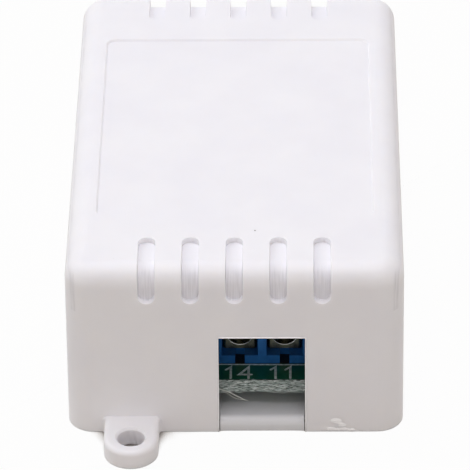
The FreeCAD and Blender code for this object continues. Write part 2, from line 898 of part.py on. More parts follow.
# The trimmer's middle on the board
trimmer_x = -board_half_width + trimmer_edge_gap + trimmer_width / 2
trimmer_y = relay_front + trimmer_start + trimmer_length / 2


def at_trimmer(shape):
    return moved(shape, trimmer_x, trimmer_y, board_top)


def trimmer_lead_places():
    return [(0, step * trimmer_lead_pitch) for step in (-1, 0, 1)]


def trimmer_body():
    half_x = trimmer_width / 2
    half_y = trimmer_length / 2
    top = trimmer_lift + trimmer_height
    body = block(-half_x, half_x, -half_y, half_y, trimmer_lift, top)
    body = body.makeChamfer(trimmer_edge, upright_edges(body) + edges_at(body, top))
    feet = []
    foot_x = half_x - trimmer_edge
    foot_y = half_y - trimmer_edge
    for side in (-1, 1):
        near, far = sorted((side * foot_y, side * (foot_y - trimmer_foot)))
        feet.append(block(-foot_x, foot_x, near, far, 0, trimmer_lift + trimmer_foot))
    body = body.fuse(feet).removeSplitter()
    cuts = [rod(0, -half_y + trimmer_screw_inset, top - trimmer_screw_depth, top + clip,
                trimmer_screw_radius + trimmer_screw_gap)]
    for x, y in trimmer_lead_places():
        cuts.append(rod(x, y, 0, trimmer_lift + trimmer_foot, trimmer_lead_radius + relay_pin_fit))
    return body.cut(cuts)


def trimmer_screw():
    """The slotted adjusting screw in its well."""
    shank = trimmer_screw_depth - trimmer_screw_gap
    screw = slotted_screw(
        trimmer_screw_radius, trimmer_screw_rise, trimmer_screw_radius, shank, clamp_slot, clamp_slot_depth
    ).removeSplitter()
    return moved(screw, 0, -trimmer_length / 2 + trimmer_screw_inset, trimmer_lift + trimmer_height)


def trimmer_leads():
    top = trimmer_lift + trimmer_foot
    return [rod(x, y, lead_end, top, trimmer_lead_radius) for x, y in trimmer_lead_places()]


def save_trimmer():
    save("trimmer_body", at_trimmer(trimmer_body()))
    save("trimmer_screw", at_trimmer(trimmer_screw()))
    save("trimmer_leads", [at_trimmer(lead) for lead in trimmer_leads()])


def behind_front(places):
    """Places across and back from the relay's front end, as places on the board."""
    return [(x, relay_front + back) for x, back in places]


def behind_relay(places):
    """Places across and back from the relay's rear end, as places on the board."""
    return [(x, relay_back + back) for x, back in places]


def on_board(shape, place):
    return moved(shape, place[0], place[1], board_top)


def spun(points):
    """A solid of revolution about Z from an outline of (radius, height) points."""
    corners = [vec(radius, 0, height) for radius, height in points]
    outline = Part.makePolygon(corners + corners[:1])
    return Part.Face(outline).revolve(vec(0, 0, 0), vec(0, 0, 1), 360)


def capacitor_can(radius, height):
    """The drawn can: a rolled-in bead above the bung, a hollow foot for it and a sloped top edge."""
    bead_low = capacitor_bead_height - 2 * capacitor_bead
    bead_high = capacitor_bead_height + 2 * capacitor_bead
    bung_radius = radius - capacitor_wall
    outline = [
        (0, capacitor_bung),
        (bung_radius, capacitor_bung),
        (bung_radius, 0),
        (radius, 0),
        (radius, bead_low),
        (radius - capacitor_bead, capacitor_bead_height),
        (radius, bead_high),
        (radius, height - capacitor_lap),
        (radius - capacitor_lap, height),
        (0, height),
    ]
    return spun(outline)


def capacitor_sleeve_shape(radius, height):
    """The shrunk film round the can, lapped over the edge of its top."""
    inner = radius + capacitor_fit
    outer = inner + capacitor_sleeve
    bead_low = capacitor_bead_height - 2 * capacitor_bead
    bead_high = capacitor_bead_height + 2 * capacitor_bead
    top = height + capacitor_fit
    outline = [
        (inner, 0),
        (outer, 0),
        (outer, bead_low),
        (outer - capacitor_bead, capacitor_bead_height),
        (outer, bead_high),
        (outer, top - capacitor_lap),
        (outer - capacitor_lap, top + capacitor_sleeve),
        (outer - 2 * capacitor_lap, top + capacitor_sleeve),
        (outer - 2 * capacitor_lap, top),
        (inner - capacitor_lap, top),
        (inner, top - capacitor_lap),
        (inner, bead_high),
        (inner - capacitor_bead, capacitor_bead_height),
        (inner, bead_low),
    ]
    return spun(outline)


def capacitor_leads(pitch):
    return [rod(x, 0, lead_end, capacitor_bung / 2, capacitor_lead_radius) for x in (-pitch / 2, pitch / 2)]


def capacitor_bung_shape(radius, pitch):
    bung = rod(0, 0, 0, capacitor_bung, radius - capacitor_wall - capacitor_fit)
    holes = [rod(x, 0, -clip, capacitor_bung / 2, capacitor_lead_radius + capacitor_fit)
             for x in (-pitch / 2, pitch / 2)]
    return bung.cut(holes)


def save_capacitor(name, spot, radius, height, pitch):
    save(name + "_can", on_board(capacitor_can(radius, height), spot))
    save(name + "_sleeve", on_board(capacitor_sleeve_shape(radius, height), spot))
    save(name + "_bung", on_board(capacitor_bung_shape(radius, pitch), spot))
    save(name + "_leads", [on_board(lead, spot) for lead in capacitor_leads(pitch)])


def tapered_outline(half_x, half_y, z):
    """A sharp-cornered rectangle at height z."""
    signs = [(-1, -1), (1, -1), (1, 1), (-1, 1), (-1, -1)]
    return Part.makePolygon([vec(sx * half_x, sy * half_y, z) for sx, sy in signs])


def moulded_body(length, width, height, low):
    """A moulded package: its sides lean in above and below the lead line, length along Y."""
    middle = (low + height) / 2
    slope = chip_side_slope
    outlines = []
    for z, shrink in ((low, slope), (middle, 0), (height, slope)):
        outlines.append(tapered_outline(width / 2 - shrink, length / 2 - shrink, z))
    lower = Part.makeLoft(outlines[:2], True, True)
    upper = Part.makeLoft(outlines[1:], True, True)
    return lower.fuse(upper)


def bent_strip(outline, side, y, width):
    """A lead of constant width from its side view, as (x outwards, z) points."""
    corners = [vec(side * x, y - width / 2, z) for x, z in outline]
    return Part.Face(Part.makePolygon(corners + corners[:1])).extrude(vec(0, width, 0))


def gull_lead(body_half, span_half, middle, foot):
    """A lead's side view: bent down from the package's side to a flat foot on the board."""
    t = lead_thickness
    knee = span_half - foot
    return [
        (body_half, middle - t / 2),
        (knee - t, middle - t / 2),
        (knee, 0),
        (span_half, 0),
        (span_half, t),
        (knee + t / 2, t),
        (knee, middle + t / 2),
        (body_half, middle + t / 2),
    ]


def tucked_lead(body_half, span_half, middle):
    """A lead's side view: bent down the package's end and tucked in under it."""
    t = lead_thickness
    return [
        (body_half, middle - t / 2),
        (span_half - t, middle - t / 2),
        (span_half - t, t),
        (span_half - diode_tuck, t),
        (span_half - diode_tuck, 0),
        (span_half, 0),
        (span_half, middle + t / 2),
        (body_half, middle + t / 2),
    ]


def save_package(name, spots, body, view, lead_width, rows):
    """Packages of one kind. rows gives each lead's side and its place along the body."""
    leads = [bent_strip(view, side, y, lead_width) for side, y in rows]
    save(name, [on_board(body, spot) for spot in spots])
    save(name + "_leads", [on_board(lead, spot) for spot in spots for lead in leads])


def save_timer_chip():
    body = moulded_body(chip_length, chip_width, chip_height, chip_lift)
    floor = chip_height - dimple_depth
    dimple = rod(-chip_width / 4, -chip_length / 3, floor, chip_height + clip, dimple_radius)
    view = gull_lead(chip_width / 2, chip_span / 2, (chip_lift + chip_height) / 2, chip_foot)
    middle_lead = (chip_lead_rows - 1) / 2
    rows = []
    for side in (-1, 1):
        for index in range(chip_lead_rows):
            rows.append((side, (index - middle_lead) * chip_lead_pitch))
    spots = behind_front([chip_place])
    save_package("timer_chip", spots, body.cut(dimple), view, chip_lead_width, rows)


def save_transistor():
    body = moulded_body(transistor_length, transistor_width, transistor_height, chip_lift)
    middle = (chip_lift + transistor_height) / 2
    view = gull_lead(transistor_width / 2, transistor_span / 2, middle, transistor_foot)
    rows = [(-1, -transistor_lead_pitch), (-1, transistor_lead_pitch), (1, 0)]
    spots = behind_front([transistor_place])
    save_package("driver_transistor", spots, body, view, transistor_lead_width, rows)


def save_regulator():
    body = moulded_body(regulator_length, regulator_width, regulator_height, chip_lift)
    middle = (chip_lift + regulator_height) / 2
    view = gull_lead(regulator_width / 2, regulator_span / 2, middle, regulator_foot)
    rows = [(-1, -regulator_lead_pitch), (-1, 0), (-1, regulator_lead_pitch), (1, 0)]
    spots = behind_front([regulator_place])
    save_package("voltage_regulator", spots, body, view, regulator_lead_width, rows)


def save_diodes():
    body = moulded_body(diode_width, diode_length, diode_height, diode_lift)
    view = tucked_lead(diode_length / 2, diode_span / 2, (diode_lift + diode_height) / 2)
    save_package("diodes", diode_spots, body, view, diode_lead_width, [(-1, 0), (1, 0)])


def chip_core(height):
    half_x = resistor_length / 2 - end_cap_length
    half_y = resistor_width / 2
    return block(-half_x, half_x, -half_y, half_y, 0, height)


def chip_caps(height):
    half_y = resistor_width / 2
    caps = []
    for side in (-1, 1):
        inner = resistor_length / 2 - end_cap_length
        near, far = sorted((side * resistor_length / 2, side * inner))
        caps.append(block(near, far, -half_y, half_y, 0, height))
    return caps


def save_chips(name, spots, height):
    save(name + "_bodies", [on_board(chip_core(height), spot) for spot in spots])
    save(name + "_end_caps", [on_board(cap, spot) for spot in spots for cap in chip_caps(height)])


def led_lens():
    """The clear moulded lens on the lamp's base, with leaning sides."""
    outlines = []
    for z, shrink in ((led_base_height, 0), (led_base_height + led_lens_height, led_lens_slope)):
        outlines.append(tapered_outline(led_lens_length / 2 - shrink, resistor_width / 2 - shrink, z))
    return Part.makeLoft(outlines, True, True)


def led_base():
    half_x = resistor_length / 2
    half_y = resistor_width / 2
    return block(-half_x, half_x, -half_y, half_y, 0, led_base_height)


# Where the packages and capacitors stand on the board
timing_spot = behind_front([timing_place])[0]
filter_spot = behind_relay([filter_place])[0]
diode_spots = behind_front([(diode_x, back) for back in diode_rows])
resistor_spots = behind_front(front_resistors) + behind_relay(rear_resistors)
ceramic_spots = behind_front(front_ceramics) + behind_relay(rear_ceramics)
lamp_spots = behind_front([(lamp_x, -front_lamp_gap)]) + behind_relay([(lamp_x, rear_lamp_gap)])


def lead_holes():
    """Every lead's place and hole radius in the board."""
    holes = []
    pin_radius_needed = math.hypot(solder_pin_width, tongue_thickness) / 2
    pin_y = block_front + (strip_start + strip_end) / 2
    for x in pole_offsets:
        holes.append((window_centre + x, pin_y, pin_radius_needed))
        holes.append((-window_centre - x, -pin_y, pin_radius_needed))
    for x, y, dx, dy in relay_pin_slots().values():
        holes.append((relay_centre + x, relay_middle + y, math.hypot(dx, dy)))
    for x, y in trimmer_lead_places():
        holes.append((trimmer_x + x, trimmer_y + y, trimmer_lead_radius))
    for spot, pitch in ((timing_spot, timing_lead_pitch), (filter_spot, filter_lead_pitch)):
        for x in (-pitch / 2, pitch / 2):
            holes.append((spot[0] + x, spot[1], capacitor_lead_radius))
    return holes


def circuit_board():
    """The board, notched round the cover's bosses and drilled for leads and locating pins."""
    board = rounded_block(board_half_width, board_half_length, board_corner_radius, board_bottom, board_top)
    low = board_bottom - clip
    high = board_top + clip
    notch = rod(boss_x, boss_y, low, high, boss_radius + board_notch_gap)
    corner_x = board_half_width + clip
    corner_y = -board_half_length - clip
    corner = block(boss_x, corner_x, corner_y, boss_y + boss_radius + board_notch_gap, low, high)
    corner = corner.fuse(block(boss_x - boss_radius - board_notch_gap, corner_x, corner_y, boss_y, low, high))
    notch = notch.fuse(corner).removeSplitter()
    cuts = [notch, half_turn(notch)]
    for x, y in post_places()[::2]:
        cuts.append(rod(x, y, low, high, pin_radius + pin_gap))
    for x, y, radius in lead_holes():
        cuts.append(rod(x, y, low, high, radius + lead_hole_gap))
    return board.cut(cuts)


def main():
    os.makedirs("parts", exist_ok=True)
    save("top_cover", top_cover())
    save("base_plate", base_plate())
    save("case_screws", case_screws())
    save("circuit_board", circuit_board())
    save_terminal("output", unturned)
    save_terminal("input", half_turn)
    save_relay()
    save_trimmer()
    save_capacitor("timing_capacitor", timing_spot, timing_radius, timing_height, timing_lead_pitch)
    save_capacitor("filter_capacitor", filter_spot, filter_radius, filter_height, filter_lead_pitch)
    save_timer_chip()
    save_transistor()
    save_regulator()
    save_diodes()
    save_chips("chip_resistor", resistor_spots, resistor_height)
    save_chips("ceramic_capacitor", ceramic_spots, ceramic_height)
    save("indicator_lamp_bases", [on_board(led_base(), spot) for spot in lamp_spots])
    save("indicator_lamp_lenses", [on_board(led_lens(), spot) for spot in lamp_spots])


main()
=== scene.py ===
"""A time delay relay module in a white moulded case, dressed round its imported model.

Everything is in metres in the model's own frame: +Z is up, -Y is the output end. The script is
laid out as an add-on. Its operators finish the pieces in turn, and main() calls them all.
"""
import math

import bpy
import numpy as np
from mathutils import Matrix, Vector


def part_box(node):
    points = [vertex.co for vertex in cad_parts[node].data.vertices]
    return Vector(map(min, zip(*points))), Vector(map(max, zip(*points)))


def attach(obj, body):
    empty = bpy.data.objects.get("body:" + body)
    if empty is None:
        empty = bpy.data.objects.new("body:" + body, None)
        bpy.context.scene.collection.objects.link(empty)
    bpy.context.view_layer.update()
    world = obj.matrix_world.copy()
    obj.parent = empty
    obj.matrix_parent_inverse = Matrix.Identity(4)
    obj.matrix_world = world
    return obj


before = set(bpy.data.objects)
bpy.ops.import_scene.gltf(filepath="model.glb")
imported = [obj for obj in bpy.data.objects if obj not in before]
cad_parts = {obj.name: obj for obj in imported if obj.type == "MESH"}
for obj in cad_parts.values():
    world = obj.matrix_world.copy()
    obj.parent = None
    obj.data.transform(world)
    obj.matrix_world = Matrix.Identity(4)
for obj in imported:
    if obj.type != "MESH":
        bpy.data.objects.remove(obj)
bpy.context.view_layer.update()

bl_info = {
    "name": "Time delay relay module",
    "version": (1, 0, 0),
    "blender": (4, 5, 0),
    "location": "View3D > Sidebar > Relay module",
    "description": "Gives the relay module its plastics, metals, board details, light and camera",
    "category": "Object",
}

MM = 0.001


def node_box(name):
    """A node's lowest and highest corners as arrays."""
    low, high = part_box(name)
    return np.array(low), np.array(high)


def node_middle(name):
    low, high = node_box(name)
    return (low + high) / 2


board_low, board_high = node_box("circuit_board")
block_low, block_high = node_box("output_terminal_housing")
board_top = board_high[2]
block_middle = (block_low[0] + block_high[0]) / 2
case_front = -30.0 * MM
roof_top = 22.0 * MM
WALL_LEAN = math.tan(math.radians(0.3))


# Colours, patterns and finishes

def hex_to_linear(text):
    """An sRGB hex colour as linear red, green, blue and full opacity."""
    channels = np.array([int(text[start:start + 2], 16) for start in (1, 3, 5)]) / 255
    linear = np.where(channels <= 0.04045, channels / 12.92, ((channels + 0.055) / 1.055) ** 2.4)
    return (*linear.tolist(), 1.0)


def fill(tree, node, **inputs):
    """Links sockets and sets values. A name has _ for a space, or is _ and a number."""
    for name, value in inputs.items():
        key = int(name[1:]) if name[1:].isdigit() else name.replace("_", " ")
        if isinstance(value, bpy.types.NodeSocket):
            tree.links.new(value, node.inputs[key])
        else:
            plain = hex_to_linear(value) if isinstance(value, str) else value
            node.inputs[key].default_value = plain


def add(tree, kind, settings=None, out=0, **inputs):
    """Adds a node with its settings and links, and gives back one of its outputs."""
    made = tree.nodes.new("ShaderNode" + kind)
    for name, value in (settings or {}).items():
        setattr(made, name, value)
    fill(tree, made, **inputs)
    return made.outputs[out]


# Node settings
COLOURS = {"data_type": "RGBA"}
TIMES, TIMES_PLUS, LESS, LARGER, SMALLER, UNSIGNED, SIGN = (
    {"operation": name} for name in ("MULTIPLY", "MULTIPLY_ADD", "SUBTRACT", "MAXIMUM",
                                     "MINIMUM", "ABSOLUTE", "SIGN"))
# Where nearly all of a noise lies, and a range that falls from 1 to 0
MIDDLE = {"_1": 0.35, "_2": 0.65}
FALLING = {"_3": 1.0, "_4": 0.0}


def grains(size):
    """The noise scale whose grains are size mm across."""
    return 1 / (size * MM)


def new_finish(name):
    """A principled material, as (material, tree, shader, object coordinates)."""
    made = bpy.data.materials.new(name)
    made.use_nodes = True
    tree = made.node_tree
    return made, tree, tree.nodes["Principled BSDF"], add(tree, "TexCoord", out=3)


def set_surface(tree, shader, colour, shine, relief, depth, **values):
    """Gives a shader its colour, its roughness, a relief depth mm high, and fixed values."""
    bump = add(tree, "Bump", Strength=1.0, Distance=depth * MM, Height=relief)
    fill(tree, shader, Base_Color=colour, Roughness=shine, Normal=bump, **values)


def wandering_tone(tree, place, dark, pale, patch):
    """A colour that wanders from dark to pale in patches of patch mm."""
    patches = add(tree, "TexNoise", Vector=place, Scale=grains(patch), Detail=3.0)
    share = add(tree, "MapRange", _0=patches, **MIDDLE)
    return add(tree, "Mix", COLOURS, 2, _0=share, _6=dark, _7=pale)


def grained_skin(tree, shader, place, colour, gloss, fine, depth, **values):
    """A surface whose roughness wanders within gloss over a grain of fine mm, depth mm high."""
    grain = add(tree, "TexNoise", Vector=place, Scale=grains(fine), Detail=3.0)
    shine = add(tree, "MapRange", _0=grain, **MIDDLE, _3=gloss[0], _4=gloss[1])
    set_surface(tree, shader, colour, shine, grain, depth, **values)


def mottled(name, dark, pale, patch, gloss, fine, depth, stretch=(1, 1, 1), **values):
    """A finish with a wandering tone and a grained skin, drawn out along an axis by stretch."""
    made, tree, shader, place = new_finish(name)
    drawn = add(tree, "Mapping", Vector=place, Scale=tuple(1 / part for part in stretch))
    colour = wandering_tone(tree, drawn, dark, pale, patch)
    grained_skin(tree, shader, drawn, colour, gloss, fine, depth, **values)
    return made


def dress(finish, *nodes):
    """Gives nodes their finish."""
    for node in nodes:
        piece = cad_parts[node]
        piece.data.materials.clear()
        piece.data.materials.append(finish)


def into_scene(name, data):
    """An object of its own for a mesh, lamp or camera."""
    made = bpy.data.objects.new(name, data)
    bpy.context.scene.collection.objects.link(made)
    return made


def new_piece(name, corners, faces, finish, slot, body="base", smooth=True):
    """Puts computed corners and faces into a new piece that rides on a body."""
    mesh = bpy.data.meshes.new(name)
    mesh.from_pydata(np.asarray(corners).tolist(), [], faces)
    mesh.polygons.foreach_set("use_smooth", [smooth] * len(mesh.polygons))
    mesh.validate()
    mesh.update()
    mesh.materials.append(finish)
    piece = into_scene(name, mesh)
    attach(piece, body)


# Shapes worked out as whole arrays

def pen_line(points, width, steps=5):
    """The outline of a line drawn with a round pen.

    The path is moved half a width to each side, with mitred joints, and a half circle of the
    same width closes each end.
    """
    path = np.asarray(points, float)
    along = np.diff(path, axis=0)
    along /= np.linalg.norm(along, axis=1)[:, None]
    across = np.stack([-along[:, 1], along[:, 0]], axis=1)
    joints = across[:-1] + across[1:]
    joints /= np.sum(joints * across[1:], axis=1)[:, None]
    half = width / 2
    side = half * np.vstack([across[:1], joints, across[-1:]])
    turn = np.linspace(0, math.pi, steps + 1)[1:-1, None]
    end = path[-1] + half * (np.cos(turn) * across[-1] + np.sin(turn) * along[-1])
    start = path[0] - half * (np.cos(turn) * across[0] + np.sin(turn) * along[0])
    return np.vstack([path + side, end, (path - side)[::-1], start])[::-1]


def thin_plates(outlines, low, high):
    """Flat plates from low to high: each outline gives a floor, a top and upright sides."""
    corners, faces, first = [], [], 0
    for outline in outlines:
        count = len(outline)
        for z in (low, high):
            corners.append(np.column_stack([outline, np.full(count, z)]))
        ring = first + np.arange(count)
        after = np.roll(ring, -1)
        faces.append(ring[::-1].tolist())
        faces.append((ring + count).tolist())
        faces += np.stack([ring, after, after + count, ring + count], axis=1).tolist()
        first += 2 * count
    return np.vstack(corners), faces


def many_grids(grids, closed=False):
    """Closed shells in one mesh, from an array of points, (grids, rows, columns, 3).

    Four-cornered faces join the points of each grid. A grid that closes round its columns gets
    a lid on its first and its last ring, and an open one gets a flat back across its rim.
    """
    count, rows, columns, _ = grids.shape
    start = (np.arange(count) * rows * columns)[:, None]
    index = np.arange(rows * columns).reshape(rows, columns)
    if closed:
        lids = [index[0, ::-1], index[-1]]
        index = np.hstack([index, index[:, :1]])
    else:
        rim = [index[0, :-1], index[:-1, -1], index[-1, :0:-1], index[:0:-1, 0]]
        lids = [np.concatenate(rim)[::-1]]
    quads = np.stack([index[:-1, :-1], index[:-1, 1:], index[1:, 1:], index[1:, :-1]], axis=-1)
    faces = (start[..., None] + quads.reshape(-1, 4)).reshape(-1, 4).tolist()
    for lid in lids:
        faces += (start + lid).tolist()
    return grids.reshape(-1, 3), faces


def threads(lines, radii, sides=4, taper_power=0.35):
    """Thin round threads along many lines of equal point count.

    A ring of sides points stands round each point of a line, square to the line there, with a
    radius that tapers to nothing at both ends: radius times sin(pi t) to taper_power.
    """
    lines = np.asarray(lines, float)
    steps = lines.shape[1]
    along = np.gradient(lines, axis=1)
    along /= np.linalg.norm(along, axis=2, keepdims=True)
    helper = np.where(np.abs(along[..., 2:3]) > 0.9, [1.0, 0.0, 0.0], [0.0, 0.0, 1.0])
    first = np.cross(along, helper)
    first /= np.linalg.norm(first, axis=2, keepdims=True)
    second = np.cross(along, first)
    taper = np.sin(np.linspace(0.02, math.pi - 0.02, steps)) ** taper_power
    radius = np.asarray(radii)[:, None, None, None] * taper[None, :, None, None]
    turn = np.linspace(0, 2 * math.pi, sides, endpoint=False)[None, None, :, None]
    ring = np.cos(turn) * first[:, :, None, :] + np.sin(turn) * second[:, :, None, :]
    return many_grids(lines[:, :, None, :] + radius * ring, closed=True)


def box_outline(low, high, gap):
    """The four corners round a box, gap outside it, with the first one again at the end."""
    left, front = low[0] - gap, low[1] - gap
    right, back = high[0] + gap, high[1] + gap
    return np.array([(left, front), (right, front), (right, back), (left, back), (left, front)])


# What a user may change

class CaseFinish(bpy.types.PropertyGroup):
    """The moulded case."""
    shade: bpy.props.FloatVectorProperty(
        name="Shade", description="Colour of the white plastic", subtype="COLOR", size=4,
        min=0, max=1, default=hex_to_linear("#F4F3F8"))
    patch_shade: bpy.props.FloatVectorProperty(
        name="Patch shade", description="Slightly darker tone that the plastic wanders to",
        subtype="COLOR", size=4, min=0, max=1, default=hex_to_linear("#F1F0F5"))
    burr_radius: bpy.props.FloatProperty(
        name="Burr", description="Radius of the thin burr round a wire window",
        default=0.08 * MM, unit="LENGTH")


class BoardFinish(bpy.types.PropertyGroup):
    """The circuit board and its print."""
    resist: bpy.props.FloatVectorProperty(
        name="Solder resist", description="Colour of the green lacquer", subtype="COLOR", size=4,
        min=0, max=1, default=hex_to_linear("#0E6047"))
    track_resist: bpy.props.FloatVectorProperty(
        name="Track colour", description="Colour of the lacquer where it covers copper",
        subtype="COLOR", size=4, min=0, max=1, default=hex_to_linear("#1D8455"))
    track_width: bpy.props.FloatProperty(
        name="Track width", description="Width of the thin copper tracks",
        default=0.4 * MM, unit="LENGTH")
    numeral_height: bpy.props.FloatProperty(
        name="Numeral height", description="Height of the printed pole numbers",
        default=2.15 * MM, unit="LENGTH")
    print_width: bpy.props.FloatProperty(
        name="Print width", description="Width of the printed numerals' strokes",
        default=0.28 * MM, unit="LENGTH")
    outline_width: bpy.props.FloatProperty(
        name="Outline width", description="Width of the printed outlines",
        default=0.2 * MM, unit="LENGTH")
    yarn_radius: bpy.props.FloatProperty(
        name="Yarn radius", description="Radius of a cut bundle of glass fibre",
        default=0.06 * MM, unit="LENGTH")
    fibre_radius: bpy.props.FloatProperty(
        name="Fibre radius", description="Radius of a frayed strand of glass fibre",
        default=0.024 * MM, unit="LENGTH")


class StudioSettings(bpy.types.PropertyGroup):
    """Camera, lamps and floor."""
    lens: bpy.props.FloatProperty(
        name="Lens", description="Focal length on a 36 mm sensor", default=333.17)
    turn: bpy.props.FloatVectorProperty(
        name="Camera turn", description="Tilt down, turn about Z and roll about the view",
        subtype="EULER",
        default=(math.radians(34.343), math.radians(0.919), math.radians(-0.632)))
    place: bpy.props.FloatVectorProperty(
        name="Camera place", description="Where the camera stands", subtype="TRANSLATION",
        default=(6.499 * MM, -424.143 * MM, 296.288 * MM))
    room_light: bpy.props.FloatProperty(
        name="Room light", description="Strength of the room's light at eye level", default=1.05)
    room_tint: bpy.props.FloatVectorProperty(
        name="Room tint", description="Colour of the room's light", subtype="COLOR", size=4,
        min=0, max=1, default=hex_to_linear("#FFF9F1"))


# Operators

class FinishCase(bpy.types.Operator):
    """Moulded plastic for the cover and the base plate, with what moulding left on it."""
    bl_idname = "relay_module.case"
    bl_label = "Case"

    def execute(self, context):
        settings = context.scene.case_finish
        dress(moulded_white_abs(settings), "top_cover")
        # The base plate is the same plastic in a greyer copy of its colour: painted shade for
        # where it shows in the window's shadow.
        dress(mottled("moulded_white_abs_painted_shade", "#E3E4E9", "#E6E7EC", 7.0, (0.42, 0.54), 0.15,
                      0.003, **ABS_BODY), "base_plate")
        # Burr and scar in a whiter, glossier finish than the satin wall: a painted highlight on
        # their edges.
        highlight_finish = mottled("white_abs_painted_highlight", "#F6F5F8", "#FAF9FC", 0.5, (0.25, 0.35), 0.1,
                            0.002, IOR=1.53, Coat_Weight=1.0, Coat_IOR=1.9, Coat_Roughness=0.2)
        new_piece("window_burrs", *window_burrs(settings.burr_radius), highlight_finish, "case_plastic",
                  "cover")
        new_piece("gate_scar", *gate_scar(), highlight_finish, "case_plastic", "cover")
        # Burnt specks: grey-brown grains that came out with the white melt.
        burnt = mottled("burnt_abs_speck", "#8C8688", "#A8A2A4", 0.1, (0.4, 0.6), 0.05, 0.002)
        new_piece("moulded_in_specks", *specks(), burnt, "case_plastic", "cover")
        return {"FINISHED"}


# What makes ABS a little see-through at its edges
ABS_BODY = {"Subsurface_Weight": 0.6, "Subsurface_Radius": (1.0, 0.95, 0.9),
            "Subsurface_Scale": 0.5 * MM, "IOR": 1.53}


def moulded_white_abs(settings):
    """Injection-moulded ABS from a spark-eroded mould: satin, a little see-through at edges."""
    made, tree, shader, place = new_finish("moulded_white_abs")
    plain = wandering_tone(tree, place, tuple(settings.patch_shade),
                           tuple(settings.shade), 7.0)
    # The groove floors keep fine upright lines from the mould, and are painted a little darker:
    # partly those lines, partly painted shade in the grooves.
    upright = add(tree, "Mapping", Vector=place, Scale=(1.0, 0.05, 0.05))
    lines = add(tree, "TexNoise", Vector=upright, Scale=grains(0.16), Detail=3.0)
    groove_lines_and_shade = add(tree, "MapRange", _0=lines, **MIDDLE, _3=0.86, _4=0.98)
    tone = add(tree, "Mix", _0=groove_floor(tree, place), _2=1.0, _3=groove_lines_and_shade)
    colour = add(tree, "HueSaturation", Color=plain, Value=tone)
    fine = add(tree, "TexNoise", Vector=place, Scale=grains(0.14), Detail=2.0)
    shine = add(tree, "MapRange", _0=fine, **MIDDLE, _3=0.4, _4=0.52)
    waves = add(tree, "TexNoise", Vector=place, Scale=grains(5.0), Detail=1.0)
    relief = add(tree, "Math", TIMES_PLUS, _0=waves, _1=4.0, _2=fine)
    set_surface(tree, shader, colour, shine, relief, 0.004, **ABS_BODY)
    return made


def groove_floor(tree, place):
    """1 on the floors of the cover's grooves, and 0 elsewhere.

    The roof edge is a round of 2.5 mm about an axis 27.5 mm out and 19.5 mm up. A floor is what
    lies 1.3 to 1.85 mm from that axis, which is 0.65 to 1.2 mm deep, from the groove's foot up
    to where its floor meets the flat roof.
    """
    split = add(tree, "SeparateXYZ", Vector=place).node.outputs
    from_middle = add(tree, "Math", UNSIGNED, _0=split[1])
    out = add(tree, "Math", LESS, _0=from_middle, _1=27.5 * MM)
    up = add(tree, "Math", LESS, _0=split[2], _1=19.5 * MM)
    spoke = add(tree, "CombineXYZ", X=add(tree, "Math", LARGER, _0=out, _1=0.0),
                Y=add(tree, "Math", LARGER, _0=up, _1=0.0))
    reach = add(tree, "VectorMath", {"operation": "LENGTH"}, 1, _0=spoke)
    limits = [add(tree, "MapRange", _0=reach, _1=1.25 * MM, _2=1.35 * MM),
              add(tree, "MapRange", _0=reach, _1=1.8 * MM, _2=1.9 * MM, **FALLING),
              add(tree, "MapRange", _0=split[2], _1=16.2 * MM, _2=16.3 * MM),
              add(tree, "MapRange", _0=split[2], _1=20.7 * MM, _2=21.3 * MM, **FALLING)]
    depths = add(tree, "Math", TIMES, _0=limits[0], _1=limits[1])
    heights = add(tree, "Math", TIMES, _0=limits[2], _1=limits[3])
    return add(tree, "Math", TIMES, _0=depths, _1=heights)


def window_burrs(radius):
    """A thin burr round each wire window: a round thread that runs up, across and down."""
    half, middle, foot, top = 4.915 * MM, 3.02 * MM, 0.02 * MM, 13.0 * MM
    around = np.array([(-half, foot), (-half, top), (half, top), (half, foot)])
    reach = np.linalg.norm(np.diff(around, axis=0), axis=1).cumsum()
    where = np.sort(np.append(np.linspace(0, reach[-1], 40), reach[:2]))
    x, z = [np.interp(where, np.append(0, reach), around[:, axis]) for axis in (0, 1)]
    line = np.stack([middle + x, case_front + WALL_LEAN * z, z], axis=1)
    other = line * np.array((-1, -1, 1))
    return threads(np.stack([line, other]), [radius, radius], sides=8, taper_power=0.05)


def gate_scar():
    """What the trimmed sprue left beside the window, low on the front wall.

    A sheet over x and z whose height off the wall is a sum of round hills: one broad hill and
    a wavy ridge of small ones along the wall's foot. Its rim is sunk just below the wall.
    """
    x = np.linspace(10.0, 14.0, 54)[:, None] * MM
    z = np.linspace(0.03, 2.4, 34)[None, :] * MM
    # Each hill's place in x and z, its half widths in x and z, and its height, in mm
    hills = np.array([(11.36, 1.55, 0.46, 0.26, 0.1), (10.75, 0.42, 0.34, 0.16, 0.09),
                      (11.5, 0.3, 0.36, 0.12, 0.07), (12.35, 0.36, 0.32, 0.13, 0.08),
                      (13.15, 0.24, 0.34, 0.13, 0.1), (12.1, 0.95, 0.5, 0.3, 0.03)]) * MM
    across, up, wide, tall, high = hills.T[..., None, None]
    height = (high * np.exp(-((x - across) / wide) ** 2 - ((z - up) / tall) ** 2)).sum(axis=0)
    sunk = 0.012 * MM
    sheet = np.stack([x + 0 * z, case_front + WALL_LEAN * z + sunk - height, z + 0 * x], axis=-1)
    return many_grids(sheet[None, ::-1])


def specks():
    """Two flat grains in the cover's roof: spheres flattened to 0.12, with a wavy outline."""
    sunk = 0.015 * MM
    centres = np.array([(2.29 * MM, -21.87 * MM, roof_top - sunk),
                        (-13.4 * MM, -27.3 * MM, roof_top - sunk)])
    radii = np.array([0.17, 0.13]) * MM
    turn = np.linspace(0, 2 * math.pi, 12, endpoint=False)[None, :]
    rise = np.linspace(-0.98, 0.98, 7)[:, None] * math.pi / 2
    outline = (1 + 0.25 * np.sin(3 * turn + 1) * np.cos(rise)) * np.cos(rise)
    unit = np.stack([np.cos(turn) * outline, np.sin(turn) * outline,
                     0.12 * np.sin(rise) + 0 * turn], axis=-1)
    grids = centres[:, None, None, :] + radii[:, None, None, None] * unit[None]
    return many_grids(grids, closed=True)


